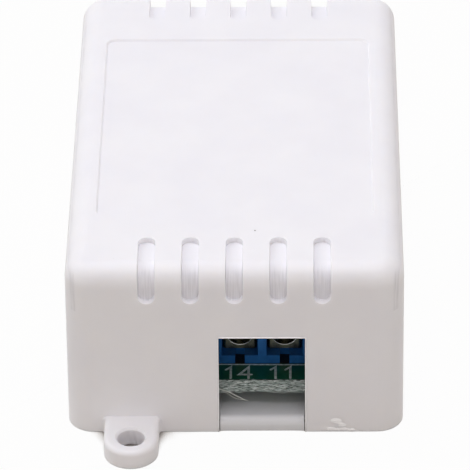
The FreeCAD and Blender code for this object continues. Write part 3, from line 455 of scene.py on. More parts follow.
# The metals: parts of the names of their nodes, and the finish as mottled takes it
METALS = (
    # Zinc over steel: a grey metal whose crystals break the reflection into soft patches.
    (("case_screws",), "zinc_plated_steel", "#9A9CA2", "#C4C6CC", 0.6, (0.25, 0.42), 0.08, 0.002),
    # Yellow passivation: an olive film whose tone drifts, over stamped sheet.
    (("clamp_cage",), "yellow_passivated_steel", "#67675A", "#93937F", 0.9, (0.25, 0.42), 0.1,
     0.002, (1, 3, 1)),
    # Nickel: bright and slightly warm, with turning marks round the head.
    (("clamp_screw",), "nickel_plated_steel", "#A8A59C", "#CFCBC0", 0.4, (0.2, 0.35), 0.06,
     0.003, (4, 1, 1)),
    # Tin over brass: pale and soft, with faint rolling lines.
    (("terminal_contacts",), "tinned_brass", "#BDB6A4", "#D8D4C8", 0.5, (0.3, 0.45), 0.05,
     0.002, (1, 1, 4)),
    # Tinned copper wire and end caps: dull silver with a wavy dipped skin.
    (("_leads", "_end_caps", "coil_pins"), "tinned_copper", "#B4B5B8", "#DADBDD", 0.3,
     (0.28, 0.45), 0.12, 0.004),
    # Turned brass: yellow metal with fine lines from the tool.
    (("trimmer_screw",), "turned_brass", "#B48E46", "#D8B56C", 0.3, (0.2, 0.34), 0.05, 0.003,
     (1, 1, 6)),
)


class FinishMetals(bpy.types.Operator):
    """Screws, cages, contacts and leads in their plated metals."""
    bl_idname = "relay_module.metals"
    bl_label = "Metal parts"

    def execute(self, context):
        for parts, *look in METALS:
            finish = mottled(*look, Metallic=1.0)
            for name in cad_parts:
                if any(part in name for part in parts):
                    dress(finish, name)
        # The punched rim, in a paler metal than the cage: a painted highlight along the edge of
        # the opening.
        rim = mottled("paler_zinc_painted_highlight", "#D2D3D0", "#F0F0EC", 0.3, (0.15, 0.3), 0.05, 0.002,
                      Metallic=1.0)
        for end, front in (("output", -1), ("input", 1)):
            for side in ("left", "right"):
                shape = cage_rim(f"{end}_clamp_cage_{side}", front)
                body = f"{end}_cage_{side}"
                new_piece(body + "_rim", *shape, rim, "plated_clamp", body)
        return {"FINISHED"}


def cage_rim(node, front):
    """The raised rim of a cage's wire opening: a thread down one side, round a half circle that
    the opening ends in, and up the other side."""
    low, high = node_box(node)
    radius, floor, thread = 1.5 * MM, 0.5 * MM, 0.045 * MM
    centre = low[2] + floor + radius
    turn = np.linspace(math.pi, 2 * math.pi, 25)
    x = (low[0] + high[0]) / 2 + radius * np.cos(turn)
    z = centre + radius * np.sin(turn)
    x = np.concatenate([x[:1], x, x[-1:]])
    z = np.concatenate([[centre + radius], z, [centre + radius]])
    y = np.full(len(x), low[1] if front < 0 else high[1])
    return threads(np.stack([x, y, z], axis=1)[None], [thread], sides=8, taper_power=0.05)


class FinishTerminals(bpy.types.Operator):
    """Blue polyamide for the two terminal housings."""
    bl_idname = "relay_module.terminals"
    bl_label = "Terminal blocks"

    def execute(self, context):
        # Moulded polyamide: a deep even blue, satin, with a fine dry grain.
        dress(mottled("moulded_blue_polyamide", "#1A5C9E", "#256AB0", 1.5, (0.42, 0.58), 0.07,
                      0.004, Subsurface_Weight=0.08, Subsurface_Scale=0.3 * MM, IOR=1.53,
                      Specular_IOR_Level=0.2),
              "output_terminal_housing", "input_terminal_housing")
        return {"FINISHED"}


class FinishBoard(bpy.types.Operator):
    """Green lacquered glass-epoxy board with raised tracks and pale milled edges."""
    bl_idname = "relay_module.board"
    bl_label = "Circuit board"

    def execute(self, context):
        settings = context.scene.board_finish
        dress(lacquered_laminate(settings), "circuit_board")
        lines = [(line, settings.track_width) for line in THIN_TRACKS]
        lines += [(line, 3 * settings.track_width) for line in WIDE_TRACKS]
        plates = [pen_line(np.array(line) * MM, width) for line, width in lines]
        # Lacquer over copper: yellower and lighter than over bare laminate, and as glossy.
        dark = tuple(0.8 * part for part in settings.track_resist[:3]) + (1.0,)
        over_copper = mottled("lacquered_copper", dark, tuple(settings.track_resist), 1.5,
                              (0.22, 0.34), 0.2, 0.004, IOR=1.5)
        shape = thin_plates(plates, board_top, board_top + 0.035 * MM)
        new_piece("board_tracks", *shape, over_copper, "board_laminate", smooth=False)
        return {"FINISHED"}


# The copper tracks on the board's top, in mm, from pad to pad
THIN_TRACKS = (
    ((-10.8, 1.6), (-8.6, 1.6), (-7.0, 1.3)), ((-15.1, 1.6), (-15.1, 6.6)),
    ((-10.8, 6.6), (-8.6, 6.6), (-7.9, 7.2)), ((-7.0, 3.2), (-8.6, 3.2), (-9.4, 4.0)),
    ((-9.4, 4.0), (-9.4, 9.6), (-11.0, 10.6)), ((-4.1, 7.2), (-2.6, 7.2), (-2.4, 6.8)),
    ((-4.9, 2.2), (-3.4, 2.2), (-2.2, 1.0), (0.2, 0.6)), ((-0.8, 6.8), (1.2, 6.8), (2.6, 8.4)),
    ((-2.4, 8.6), (-2.4, 12.4), (-4.6, 13.4)), ((-0.8, 8.6), (0.4, 10.4), (2.6, 11.6)),
    ((-8.0, -5.3), (-9.8, -5.3), (-11.4, -6.4)), ((-8.0, -4.0), (-9.2, -4.0), (-9.2, -1.6)),
    ((-8.0, -2.8), (-11.2, -2.8), (-11.2, -1.0)), ((-8.0, -1.5), (-8.6, -0.4)),
    ((-2.0, -5.3), (-1.1, -6.2), (-1.1, -7.4), (-3.4, -7.4)), ((-2.0, -4.0), (-1.0, -3.0)),
    ((-1.0, -3.0), (-1.0, 3.4), (-2.4, 4.8), (-2.4, 6.2)), ((-5.6, -7.4), (-6.2, -8.6)),
    ((4.2, 8.4), (5.6, 8.4), (7.0, 9.8)), ((4.2, 11.6), (5.6, 13.0), (9.4, 13.0)),
    ((9.4, 13.0), (11.0, 11.6), (12.4, 11.6)), ((12.4, 8.4), (11.4, 7.4), (11.4, 6.0)),
    ((14.2, 8.4), (15.6, 7.0), (15.6, -18.2), (14.4, -19.4), (12.3, -19.4)),
    ((14.2, 11.6), (15.4, 12.8), (15.4, 15.0), (14.2, 16.2), (12.3, 16.2)),
    ((10.5, -19.4), (9.4, -18.3), (9.4, -14.6)), ((10.5, 16.2), (8.8, 14.6), (3.0, 14.6)),
)
WIDE_TRACKS = (
    ((-13.9, 6.6), (-13.9, 12.4), (-10.6, 15.6), (-9.2, 17.0), (-6.4, 17.0)),
    ((-4.6, 13.4), (-1.4, 14.6), (-0.6, 16.4)), ((0.5, -16.4), (0.4, -14.4)),
    ((5.6, -16.4), (6.4, -14.4)),
)


def lacquered_laminate(settings):
    """Glass-epoxy laminate: glossy green lacquer on its faces, and milled edges that show dull
    resin between plies of glass cloth. The lacquer has chipped back along the milled ends."""
    made, tree, shader, place = new_finish("lacquered_glass_epoxy")
    split = add(tree, "SeparateXYZ", Vector=place).node.outputs
    top, floor = board_top - 0.05 * MM, board_low[2] + 0.04 * MM
    near_top = add(tree, "MapRange", _0=split[2], _1=top, _2=top + 0.01 * MM)
    near_floor = add(tree, "MapRange", _0=split[2], _1=floor, _2=floor + 0.01 * MM, **FALLING)
    face = add(tree, "Math", LARGER, _0=near_top, _1=near_floor)
    end = add(tree, "Math", UNSIGNED, _0=split[1])
    chips = add(tree, "TexNoise", Vector=place, Scale=grains(0.35), Detail=5.0)
    reach = add(tree, "Math", TIMES_PLUS, _0=chips, _1=0.5 * MM, _2=end)
    bare = board_high[1] + 0.08 * MM
    unchipped = add(tree, "MapRange", _0=reach, _1=bare, _2=bare + 0.03 * MM, **FALLING)
    lacquered = add(tree, "Math", TIMES, _0=face, _1=unchipped)
    drift = add(tree, "TexNoise", Vector=place, Scale=grains(3.0), Detail=2.0)
    depth = add(tree, "MapRange", _0=drift, **MIDDLE, _3=0.88, _4=1.08)
    clean = add(tree, "HueSaturation", Color=tuple(settings.resist), Value=depth)
    # Under the terminal blocks the lacquer is painted a near-black brown: painted shade where the
    # blocks cover it.
    resist = add(tree, "Mix", COLOURS, 2, _0=painted_shade_under_blocks(tree, split, end), _6=clean,
                 _7="#1E1A14")
    long_marks = add(tree, "Mapping", Vector=place, Scale=(0.16, 0.16, 1.0))
    layers = add(tree, "TexNoise", Vector=long_marks, Scale=grains(0.12), Detail=4.0)
    layer_share = add(tree, "MapRange", _0=layers, _1=0.4, _2=0.6)
    resin = add(tree, "Mix", COLOURS, 2, _0=layer_share, _6="#2A3330", _7="#A3B4B0")
    colour = add(tree, "Mix", COLOURS, 2, _0=lacquered, _6=resin, _7=resist)
    shine = add(tree, "MapRange", _0=lacquered, _3=0.75, _4=0.28)
    fine = add(tree, "TexNoise", Vector=place, Scale=grains(0.25), Detail=3.0)
    set_surface(tree, shader, colour, shine, fine, 0.006, IOR=1.5)
    return made


def painted_shade_under_blocks(tree, split, end):
    """1 under the two terminal blocks, where shade is painted, and 0 elsewhere. end is how far out
    y lies.
    """
    outer, inner = -block_low[1], -block_high[1]
    before = add(tree, "MapRange", _0=end, _1=outer, _2=outer + 0.1 * MM, **FALLING)
    beyond = add(tree, "MapRange", _0=end, _1=inner, _2=inner + 0.5 * MM)
    # The blocks are a half turn apart, so x is counted the other way at the input end.
    side = add(tree, "Math", SIGN, _0=split[1])
    across = add(tree, "Math", TIMES_PLUS, _0=side, _1=split[0], _2=block_middle)
    apart = add(tree, "Math", UNSIGNED, _0=across)
    half = block_high[0] - block_middle
    beside = add(tree, "MapRange", _0=apart, _1=half, _2=half + 0.1 * MM, **FALLING)
    within = add(tree, "Math", TIMES, _0=before, _1=beyond)
    return add(tree, "Math", TIMES, _0=within, _1=beside)


# Strokes of the numerals in a box one unit high, as a plotter draws them
NUMERALS = {
    "1": ([(0.08, 0.76), (0.34, 1.0), (0.34, 0.0)],),
    "4": ([(0.66, 0.34), (0.0, 0.34), (0.5, 1.0), (0.5, 0.0)],),
}
NUMERAL_STEP = 0.78


def numeral_lines(text, height, middle_x, low_y):
    """The pen paths of a number, centred on middle_x with its foot at low_y."""
    left = middle_x - NUMERAL_STEP * len(text) * height / 2
    return [np.array(stroke) * height + (left + (place * NUMERAL_STEP + 0.08) * height, low_y)
            for place, digit in enumerate(text) for stroke in NUMERALS[digit]]


class PrintBoard(bpy.types.Operator):
    """White printed outlines and pole numbers on the board's top."""
    bl_idname = "relay_module.print"
    bl_label = "Board print"

    def execute(self, context):
        settings = context.scene.board_finish
        # Screen-printed epoxy ink: chalky white, thin enough to let some green through.
        ink = mottled("printed_white_ink", "#BACFCA", "#EEF5F4", 0.35, (0.5, 0.7), 0.08, 0.004)
        gap, askew, pole, thickness = 0.2 * MM, 0.1 * MM, 2.54 * MM, 0.02 * MM
        boxes = [box_outline(block_low, block_high, gap)]
        # The print is not quite square to the block, so its line shows more at one end.
        boxes[0][1, 1] -= askew
        boxes.append(-boxes[0])
        for name in ("relay_cover", "trimmer_body", "timer_chip", "driver_transistor"):
            boxes.append(box_outline(*node_box(name), gap))
        marks = [pen_line(box[i:i + 2], settings.outline_width) for box in boxes for i in range(4)]
        foot = board_low[1] + 0.32 * MM
        for turn in (1, -1):
            for text, side in (("14", -1), ("11", 1)):
                middle = block_middle + side * pole
                for line in numeral_lines(text, settings.numeral_height, middle, foot):
                    marks.append(pen_line(line * turn, settings.print_width))
        shape = thin_plates(marks, board_top, board_top + thickness)
        new_piece("board_print", *shape, ink, "board_laminate", smooth=False)
        return {"FINISHED"}


class FrayBoardEdge(bpy.types.Operator):
    """Cut and frayed glass cloth on the board's two milled ends, with a long loose strand."""
    bl_idname = "relay_module.fray"
    bl_label = "Frayed board edge"

    def execute(self, context):
        settings = context.scene.board_finish
        # Bare glass yarn in crushed resin: pale grey-green, silky along the strands.
        glass = mottled("frayed_glass_fibre", "#AFC1BF", "#FAFFFF", 0.22, (0.45, 0.7), 0.05,
                        0.004, stretch=(6, 1, 1), IOR=1.55)
        # A clean strand of glass: white and silky, as it has no resin on it.
        strand = mottled("clean_glass_strand", "#EEF2EC", "#FCFEFA", 0.3, (0.3, 0.5), 0.05, 0.002,
                         stretch=(6, 1, 1), IOR=1.55)
        for name, turn, seed in (("output_edge_fibres", -1, 7), ("input_edge_fibres", 1, 8)):
            yarns = cut_yarns(turn, seed, settings.yarn_radius)
            strands = frayed_strands(turn, seed, settings.fibre_radius)
            new_piece(name + "_cut", *yarns, glass, "board_laminate")
            new_piece(name, *strands, glass, "board_laminate")
        new_piece("loose_strands", *loose_strands(), strand, "board_laminate")
        return {"FINISHED"}


def cut_yarns(turn, seed, radius):
    """The weft yarns that the cutter laid open, in plies up the board's thickness.

    In a ply the yarns follow each other along the edge, each a spindle that bows over the
    yarn that crosses it: its height is the ply's plus a half wave along its length.
    """
    rng = np.random.default_rng(seed)
    plies, yarns, steps = 11, 36, 6
    count = plies * yarns
    half = board_high[0] - 1.2 * MM
    thick = board_high[2] - board_low[2]
    pitch = 2 * half / yarns
    ply = np.repeat(np.arange(plies), yarns)
    place = np.tile(np.arange(yarns), plies)
    middle = -half + (place + 0.5 + 0.5 * (ply % 2)) * pitch
    middle += rng.normal(0, 0.16, count) * MM
    length = rng.uniform(0.55, 1.0, count) * pitch
    run = np.linspace(-0.5, 0.5, steps)[None, :]
    height = board_low[2] + thick * (ply + 0.5) / plies + rng.normal(0, 0.02, count) * MM
    slope = rng.normal(0.0, 0.045, count)[:, None] * length[:, None] * run
    bow = rng.uniform(-0.04, 0.06, count)[:, None] * MM * np.cos(math.pi * run)
    x = np.clip(middle[:, None] + length[:, None] * run, -half, half)
    z = height[:, None] + slope + bow
    y = turn * (board_high[1] + rng.uniform(-0.05, 0.06, (count, 1)) * MM + 0 * x)
    radii = radius * rng.uniform(0.55, 1.15, count)
    return threads(np.stack([x, y, z], axis=2), radii, sides=6, taper_power=0.6)


def frayed_strands(turn, seed, radius):
    """Fine strands that stand off the milled end: shallow arcs at random small slopes."""
    rng = np.random.default_rng(seed + 20)
    count, steps = 380, 6
    half = board_high[0] - 2.0 * MM
    thick = board_high[2] - board_low[2]
    run = np.linspace(-0.5, 0.5, steps)[None, :]
    middle = rng.uniform((-half, 0.03 * MM, -0.04), (half, 0.1 * MM, 0.96), (count, 3))
    length = rng.uniform(0.4, 1.8, (count, 1)) * MM
    slope = rng.normal(-0.03, 0.1, (count, 1))
    bow = rng.normal(0.0, 0.08, (count, 1))
    x = middle[:, :1] + length * run
    z = board_low[2] + thick * middle[:, 2:] + length * (slope * run + bow * (4 * run ** 2 - 0.5))
    z = np.clip(z, board_low[2] - 0.14 * MM, board_top - 0.02 * MM)
    out = rng.uniform(0.0, 0.14, (count, 1)) * MM * (1 - 4 * run ** 2)
    y = turn * (board_high[1] + middle[:, 1:2] + out)
    radii = radius * rng.uniform(0.6, 1.5, count)
    return threads(np.stack([x, y, z], axis=2), radii, sides=4)


def loose_strands():
    """Two long strands that hang down from the output end's edge, along rounded paths."""
    paths = np.array([
        [(-2.3, -27.3, 4.3), (-1.6, -27.5, 4.1), (-0.75, -27.62, 3.82), (0.3, -27.7, 3.2),
         (1.45, -27.85, 2.66)],
        [(-2.0, -27.32, 4.15), (-1.2, -27.52, 3.75), (-0.2, -27.66, 3.02), (0.45, -27.74, 2.84),
         (1.2, -27.84, 2.88)]]) * MM
    knots = np.linspace(0, 1, paths.shape[1])
    fine = np.linspace(0, 1, 26)
    lines = np.stack([[np.interp(fine, knots, path[:, axis]) for axis in range(3)]
                      for path in paths]).transpose(0, 2, 1)
    for _ in range(3):
        lines[:, 1:-1] = (lines[:, :-2] + 2 * lines[:, 1:-1] + lines[:, 2:]) / 4
    return threads(lines, np.array([0.037, 0.022]) * MM, sides=6)


class SolderBoard(bpy.types.Operator):
    """Solder on the feet of the small packages and under the board."""
    bl_idname = "relay_module.solder"
    bl_label = "Solder"

    def execute(self, context):
        # Solidified solder: bright grey, smooth, with a faint frosty grain.
        solder = mottled("frosted_solder", "#A9ACB0", "#D6D8DB", 0.3, (0.16, 0.34), 0.06, 0.003,
                         Metallic=1.0)
        new_piece("surface_solder", *surface_solder(), solder, "tinned_wire")
        new_piece("lead_solder", *lead_solder(), solder, "tinned_wire")
        return {"FINISHED"}


# Solder pads from each package's middle: (node, half sizes, places), in mm
FEET = (
    ("timer_chip", (0.55, 0.3), [(side, row) for side in (-2.75, 2.75)
                                 for row in (-1.905, -0.635, 0.635, 1.905)]),
    ("driver_transistor", (0.4, 0.32), [(-1.1, -0.95), (-1.1, 0.95), (1.1, 0.0)]),
    ("voltage_regulator", (0.5, 0.34), [(-1.9, -1.5), (-1.9, 0.0), (-1.9, 1.5), (1.9, 0.0)]),
)
# Two-ended packages: (half sizes, how far the pads are from the middle, places), in mm
CHIPS = (
    ((0.42, 0.72), 1.05, [(-4.4, -7.4), (-9.8, -1.0), (-10.2, 10.6), (3.4, 8.4), (3.4, 11.6),
                          (13.3, 8.4), (13.3, 11.6), (-7.4, -7.4), (-1.6, 6.8), (-1.6, 8.6),
                          (11.4, -19.4), (11.4, 16.2)]),
    ((0.85, 0.95), 2.2, [(-13.0, 1.6), (-13.0, 6.6)]),
)
# Leads that pass through the board, in mm
LEADS = ((0.48, -17.08), (5.56, -17.08), (-0.48, 17.08), (-5.56, 17.08), (0.4, -11.6),
         (12.4, -11.6), (6.4, 2.9), (0.4, 0.6), (12.4, 0.6), (-13.5, -9.79), (-13.5, -7.25),
         (-13.5, -4.71), (-7.2, -11.4), (-5.2, -11.4), (7.35, 10.4), (9.85, 10.4))


def surface_solder():
    """Solder round each foot: a low mound over its pad.

    Its height over the pad's two directions u and v, from -1 to 1, is (1 - u squared) times
    (1 - v squared), to the power 0.8 for a fuller rim, times the height of its middle. Its
    rim is sunk just below the board's top.
    """
    rows, low, tall = [], 0.13, 0.3
    for name, (wide, deep), places in FEET:
        middle = node_middle(name) / MM
        rows += [(middle[0] + x, middle[1] + y, wide, deep, low) for x, y in places]
    for (wide, deep), apart, places in CHIPS:
        rows += [(x + side * apart, y, wide, deep, tall) for x, y in places for side in (-1, 1)]
    rows = np.array(rows)[:, :, None, None] * MM
    u = np.linspace(-1, 1, 9)[:, None]
    v = u.T
    rise = ((1 - u ** 2) * (1 - v ** 2)) ** 0.8
    rim = -0.01 * MM
    x = rows[:, 0] + rows[:, 2] * u + 0 * v
    y = rows[:, 1] + rows[:, 3] * v + 0 * u
    z = board_top + rim + rows[:, 4] * rise[None]
    return many_grids(np.stack([x, y, z], axis=-1).transpose(0, 2, 1, 3))


def lead_solder():
    """Solder cones under the board: at t of the way down, the pad's share of the radius is
    (1 - t)**2, so the flank is hollow."""
    lead, pad, drop = 0.38 * MM, 1.0 * MM, 1.15 * MM
    t = np.linspace(0, 1, 6)[:, None]
    turn = np.linspace(0, -2 * math.pi, 12, endpoint=False)[None, :]
    radius = lead + (pad - lead) * (1 - t) ** 2
    ring = np.stack([radius * np.cos(turn), radius * np.sin(turn), 0 * turn - drop * t], axis=-1)
    places = np.array([(x * MM, y * MM, board_low[2]) for x, y in LEADS])
    return many_grids(places[:, None, None, :] + ring[None], closed=True)


class FinishRelay(bpy.types.Operator):
    """The relay's blue case and its inner iron, copper and silver."""
    bl_idname = "relay_module.relay"
    bl_label = "Relay"

    def execute(self, context):
        # Moulded polyester: mid blue with a faint grain and a soft shine.
        blue = mottled("moulded_blue_polyester", "#1B4F9E", "#235BAF", 2.0, (0.3, 0.45), 0.1,
                       0.004, IOR=1.55)
        dress(blue, "relay_cover", "relay_base")
        # The same polyester in black, and drier.
        dress(mottled("moulded_black_polyester", "#141414", "#1F1F20", 1.0, (0.4, 0.6), 0.1,
                      0.004), "relay_bobbin")
        # Plated soft iron: grey with drawn-out rolling marks.
        dress(mottled("plated_soft_iron", "#8F9092", "#B8B9BB", 0.8, (0.28, 0.45), 0.08, 0.002,
                      (1, 1, 3), Metallic=1.0), "relay_core", "relay_yoke", "relay_armature")
        # Rolled copper alloy: reddish spring leaf, bright along the rolling direction.
        dress(mottled("rolled_beryllium_copper", "#B0744A", "#D29A6B", 0.6, (0.2, 0.35), 0.06,
                      0.002, (1, 5, 1), Metallic=1.0), "relay_contact_spring",
              "relay_return_spring")
        # Silver faces on copper strip: pale warm metal.
        dress(mottled("silver_on_copper_strip", "#B9B5AE", "#DFDBD4", 0.4, (0.22, 0.4), 0.07,
                      0.002, (3, 1, 1), Metallic=1.0), "relay_moving_contact",
              "relay_open_contact", "relay_closed_contact")
        dress(wound_wire(), "relay_winding")
        new_piece("relay_vent_nib", *vent_nib(), blue, "relay_plastic")
        return {"FINISHED"}


def vent_nib():
    """The sealed vent on the relay's roof: a low dome, its height the square root of 1 - r**2."""
    low, high = node_box("relay_cover")
    radius, rise, inset = 0.55 * MM, 0.16 * MM, 2.2 * MM
    r = np.linspace(1.0, 0.05, 7)[:, None]
    turn = np.linspace(0, 2 * math.pi, 20, endpoint=False)[None, :]
    dome = np.stack([radius * r * np.cos(turn), radius * r * np.sin(turn),
                     rise * np.sqrt(1 - r ** 2) + 0 * turn], axis=-1)
    place = np.array((high[0] - inset, low[1] + inset, high[2]))
    return many_grids((place + dome)[None], closed=True)


def wound_wire():
    """Enamelled copper wire whose turns bunch in even bands 0.75 mm apart."""
    made, tree, shader, place = new_finish("enamelled_copper_wire")
    # The wave node itself counts 20 radians to a unit.
    bands = add(tree, "TexWave", {"bands_direction": "Z"}, 1, Vector=place,
                Scale=grains(0.12) / 20, Distortion=0.3, Detail=1.0)
    # The copper is painted darker where the bands dip: painted shade between the bunched turns.
    colour = add(tree, "Mix", COLOURS, 2, _0=bands, _6="#7A2E12", _7="#C8683A")
    shine = add(tree, "MapRange", _0=bands, _3=0.5, _4=0.25)
    set_surface(tree, shader, colour, shine, bands, 0.04, Metallic=0.8)
    return made


class FinishCapacitors(bpy.types.Operator):
    """Aluminium cans, rubber bungs and printed shrunk sleeves."""
    bl_idname = "relay_module.capacitors"
    bl_label = "Capacitors"

    def execute(self, context):
        # Moulded rubber: matt near-black.
        rubber = mottled("moulded_black_rubber", "#131313", "#1D1D1C", 0.6, (0.7, 0.9), 0.1,
                         0.006)
        for kind in ("timing", "filter"):
            dress(scored_can(kind), kind + "_capacitor_can")
            dress(rubber, kind + "_capacitor_bung")
            dress(striped_film(kind), kind + "_capacitor_sleeve")
        return {"FINISHED"}


def scored_can(kind):
    """Drawn aluminium: bright metal with upright drawing lines and a cross scored in its top,
    0.14 mm wide, where it may burst."""
    middle = node_middle(kind + "_capacitor_can")
    made, tree, shader, place = new_finish(kind + "_drawn_aluminium")
    drawn = add(tree, "Mapping", Vector=place, Scale=(1, 1, 0.2))
    lines = add(tree, "TexNoise", Vector=drawn, Scale=grains(0.1), Detail=3.0)
    share = add(tree, "MapRange", _0=lines, **MIDDLE)
    bright = add(tree, "Mix", COLOURS, 2, _0=share, _6="#B9BABD", _7="#DEDFE1")
    centred = add(tree, "Mapping", Vector=place, Location=(-middle[0], -middle[1], 0.0))
    split = add(tree, "SeparateXYZ", Vector=centred)
    across = add(tree, "Math", UNSIGNED, _0=split)
    along = add(tree, "Math", UNSIGNED, _0=split.node.outputs[1])
    nearest = add(tree, "Math", SMALLER, _0=across, _1=along)
    groove = add(tree, "MapRange", _0=nearest, _1=0.04 * MM, _2=0.1 * MM)
    # The scored cross is painted darker than the can: painted shade in the groove.
    colour = add(tree, "Mix", COLOURS, 2, _0=groove, _6="#6E6F72", _7=bright)
    shine = add(tree, "MapRange", _0=lines, **MIDDLE, _3=0.24, _4=0.4)
    relief = add(tree, "Math", TIMES_PLUS, _0=lines, _1=0.05, _2=groove)
    set_surface(tree, shader, colour, shine, relief, 0.08, Metallic=1.0)
    return made


def striped_film(kind):
    """Shrunk plastic film: glossy, dark, with the pale band that marks one lead's side."""
    low, high = node_box(kind + "_capacitor_sleeve")
    middle, radius = (low + high) / 2, (high[0] - low[0]) / 2
    made, tree, shader, place = new_finish(kind + "_capacitor_film")
    across = add(tree, "SeparateXYZ", out=1, Vector=place)
    edge, blur = middle[1] - 0.8 * radius, 0.02 * MM
    band = add(tree, "MapRange", _0=across, _1=edge - blur, _2=edge + blur, **FALLING)
    film = wandering_tone(tree, place, "#141A2C", "#1B2238", 2.0)
    colour = add(tree, "Mix", COLOURS, 2, _0=band, _6=film, _7="#A9B4C8")
    grained_skin(tree, shader, place, colour, (0.2, 0.32), 0.4, 0.01, Coat_Weight=0.3,
                 Coat_Roughness=0.15)
    return made


class FinishSmallParts(bpy.types.Operator):
    """The trimmer's blue body, epoxy packages, ceramic chips and lamps."""
    bl_idname = "relay_module.small_parts"
    bl_label = "Small parts"

    def execute(self, context):
        # Moulded polyester again, but a brighter blue with sharper gloss.
        dress(mottled("moulded_bright_blue_polyester", "#1A57B4", "#2566C6", 1.2, (0.25, 0.4),
                      0.09, 0.003, IOR=1.55), "trimmer_body")
        # Moulded epoxy: charcoal with a sparkle of filler.
        dress(mottled("moulded_black_epoxy", "#1B1B1D", "#29292B", 0.5, (0.45, 0.65), 0.05,
                      0.004), "timer_chip", "driver_transistor", "voltage_regulator", "diodes")
        # Fired alumina under a dark glaze.
        dress(mottled("glazed_alumina", "#17181B", "#26282C", 0.4, (0.25, 0.4), 0.08, 0.003),
              "chip_resistor_bodies")
        # The buff body of a ceramic capacitor, matt and even.
        dress(mottled("fired_buff_ceramic", "#A38562", "#BFA078", 0.3, (0.45, 0.6), 0.06, 0.003),
              "ceramic_capacitor_bodies")
        # White alumina under the lamps: off-white and dry.
        dress(mottled("fired_white_alumina", "#D8D6CC", "#ECEAE0", 0.3, (0.4, 0.55), 0.06, 0.003),
              "indicator_lamp_bases")
        # Clear epoxy lens: pale yellow, water clear, with a hard shine.
        dress(mottled("clear_moulded_epoxy", "#E8E2A8", "#F4F0C4", 0.4, (0.06, 0.12), 0.2, 0.002,
                      Transmission_Weight=0.7, IOR=1.52), "indicator_lamp_lenses")
        return {"FINISHED"}


class SetStage(bpy.types.Operator):
    """Pale floor, a white room, three soft lamps and the camera."""
    bl_idname = "relay_module.stage"
    bl_label = "Stage"

    def execute(self, context):
        settings = context.scene.studio
        make_floor()
        make_sky(settings)
        soft_lamp("left_softbox", (-0.447, 0.181, 0.575), 0.4, 1.3, "#F4FBFF")
        soft_lamp("front_softbox", (0.0, -0.169, 0.731), 0.3, 1.72, "#FCF8F9")
        soft_lamp("rear_softbox", (0.0, 0.25, 0.71), 0.3, 1.2, "#ECEEFF")
        make_camera(settings)
        return {"FINISHED"}


def seen_plainly(tree):
    """1 for rays that show the white room: from the camera, in a gloss or through glass."""
    camera = add(tree, "LightPath")
    path = camera.node.outputs
    shown = add(tree, "Math", LARGER, _0=camera, _1=path["Is Glossy Ray"])
    return add(tree, "Math", LARGER, _0=shown, _1=path["Is Transmission Ray"])


def make_floor():
    """A large pale floor that shows white, and is painted dark, as shadow, where the object nearly
    closes it in.
    """
    half, low = 3.0, -0.02 * MM
    corners = [(-half, -half, low), (half, -half, low), (half, half, low), (-half, half, low)]
    mesh = bpy.data.meshes.new("floor")
    mesh.from_pydata(corners, [], [(0, 1, 2, 3)])
    # Matt white paper: plain, with a tone that drifts very slightly.
    paper, tree, shader, place = new_finish("matt_white_paper")
    drift = add(tree, "TexNoise", Vector=place, Scale=grains(40.0), Detail=3.0)
    pale = add(tree, "Mix", COLOURS, 2, _0=drift, _6="#C6C0BA", _7="#CAC4BE")
    openness = add(tree, "AmbientOcclusion", {"samples": 16}, 1, Distance=5 * MM)
    shut, shaded, free = 0.22, 0.36, 0.46
    closed_in_shade = add(tree, "MapRange", _0=openness, _1=shut, _2=shaded, **FALLING)
    shown = seen_plainly(tree)
    dark = add(tree, "Math", TIMES, _0=closed_in_shade, _1=shown)
    # Seen from the camera, closed-in floor takes a near-black colour: a painted shadow.
    colour = add(tree, "Mix", COLOURS, 2, _0=dark, _6=pale, _7="#141212")
    fill(tree, shader, Base_Color=colour, Roughness=0.9, Specular_IOR_Level=0.1)
    white = add(tree, "Emission", Color="#FFFFFF", Strength=1.0)
    lit = add(tree, "MapRange", _0=openness, _1=shaded, _2=free, _3=0.0, _4=0.97)
    share = add(tree, "Math", TIMES, _0=shown, _1=lit)
    mixed = add(tree, "MixShader", _0=share, _1=shader.outputs[0], _2=white)
    fill(tree, tree.nodes["Material Output"], Surface=mixed)
    mesh.materials.append(paper)
    into_scene("floor", mesh)


def make_sky(settings):
    """A room that shows plain white, and lights from the sides but not from above."""
    world = bpy.data.worlds.new("white_room")
    bpy.context.scene.world = world
    world.use_nodes = True
    tree = world.node_tree
    shown = seen_plainly(tree)
    colour = add(tree, "Mix", COLOURS, 2, _0=shown, _6=tuple(settings.room_tint), _7="#FFFFFF")
    upwards = add(tree, "SeparateXYZ", out=2, Vector=add(tree, "TexCoord"))
    given = add(tree, "MapRange", _0=upwards, _3=settings.room_light, _4=0.0)
    strength = add(tree, "Mix", _0=shown, _2=given, _3=1.0)
    fill(tree, tree.nodes["Background"], Color=colour, Strength=strength)


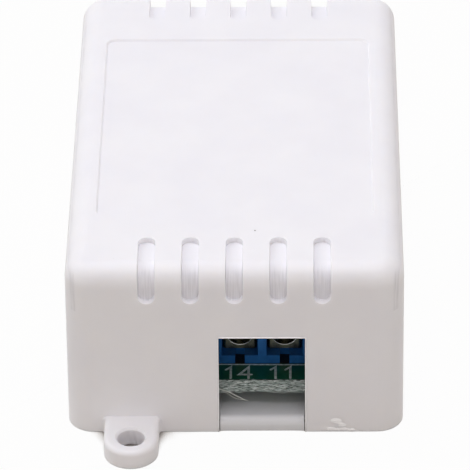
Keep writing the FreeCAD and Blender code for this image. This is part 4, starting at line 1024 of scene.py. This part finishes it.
def soft_lamp(name, place, size, power, tint):
    """A square soft lamp that faces the object."""
    data = bpy.data.lights.new(name, "AREA")
    data.shape = "SQUARE"
    data.size = size
    data.energy = power
    data.color = hex_to_linear(tint)[:3]
    lamp = into_scene(name, data)
    lamp.location = place
    lamp.rotation_euler = (-Vector(place)).to_track_quat("-Z", "Y").to_euler()


def make_camera(settings):
    """The photograph's viewpoint: pitched down, then turned about Z and rolled a little."""
    data = bpy.data.cameras.new("camera")
    data.lens = settings.lens
    data.sensor_width = 36.0
    data.clip_start, data.clip_end = 0.05, 10.0
    camera = into_scene("camera", data)
    pitch, yaw, roll = settings.turn
    turn = (Matrix.Rotation(yaw, 4, "Z") @ Matrix.Rotation(math.pi / 2 - pitch, 4, "X")
            @ Matrix.Rotation(roll, 4, "Z"))
    camera.matrix_world = Matrix.Translation(Vector(settings.place)) @ turn
    bpy.context.scene.camera = camera
    bpy.context.scene.view_settings.view_transform = "Standard"


class RelayModulePanel(bpy.types.Panel):
    """Lists the operators and their settings."""
    bl_idname = "VIEW3D_PT_relay_module"
    bl_label = "Relay module"
    bl_space_type = "VIEW_3D"
    bl_region_type = "UI"
    bl_category = "Relay module"

    def draw(self, context):
        layout = self.layout
        for step in STEPS:
            layout.operator(step.bl_idname)
        for group in (getattr(context.scene, name) for name in GROUPS):
            box = layout.box()
            for name in group.__annotations__:
                box.prop(group, name)


GROUPS = {"case_finish": CaseFinish, "board_finish": BoardFinish, "studio": StudioSettings}
STEPS = (FinishCase, FinishMetals, FinishTerminals, FinishBoard, PrintBoard, FrayBoardEdge,
         SolderBoard, FinishRelay, FinishCapacitors, FinishSmallParts, SetStage)


def register():
    for name, group in GROUPS.items():
        bpy.utils.register_class(group)
        setattr(bpy.types.Scene, name, bpy.props.PointerProperty(type=group))
    for made in STEPS + (RelayModulePanel,):
        bpy.utils.register_class(made)


def unregister():
    for made in reversed(STEPS + (RelayModulePanel,)):
        bpy.utils.unregister_class(made)
    for name, group in reversed(GROUPS.items()):
        delattr(bpy.types.Scene, name)
        bpy.utils.unregister_class(group)


def main():
    register()
    for step in STEPS:
        group, name = step.bl_idname.split(".")
        getattr(getattr(bpy.ops, group), name)()


if __name__ == "__main__":
    main()
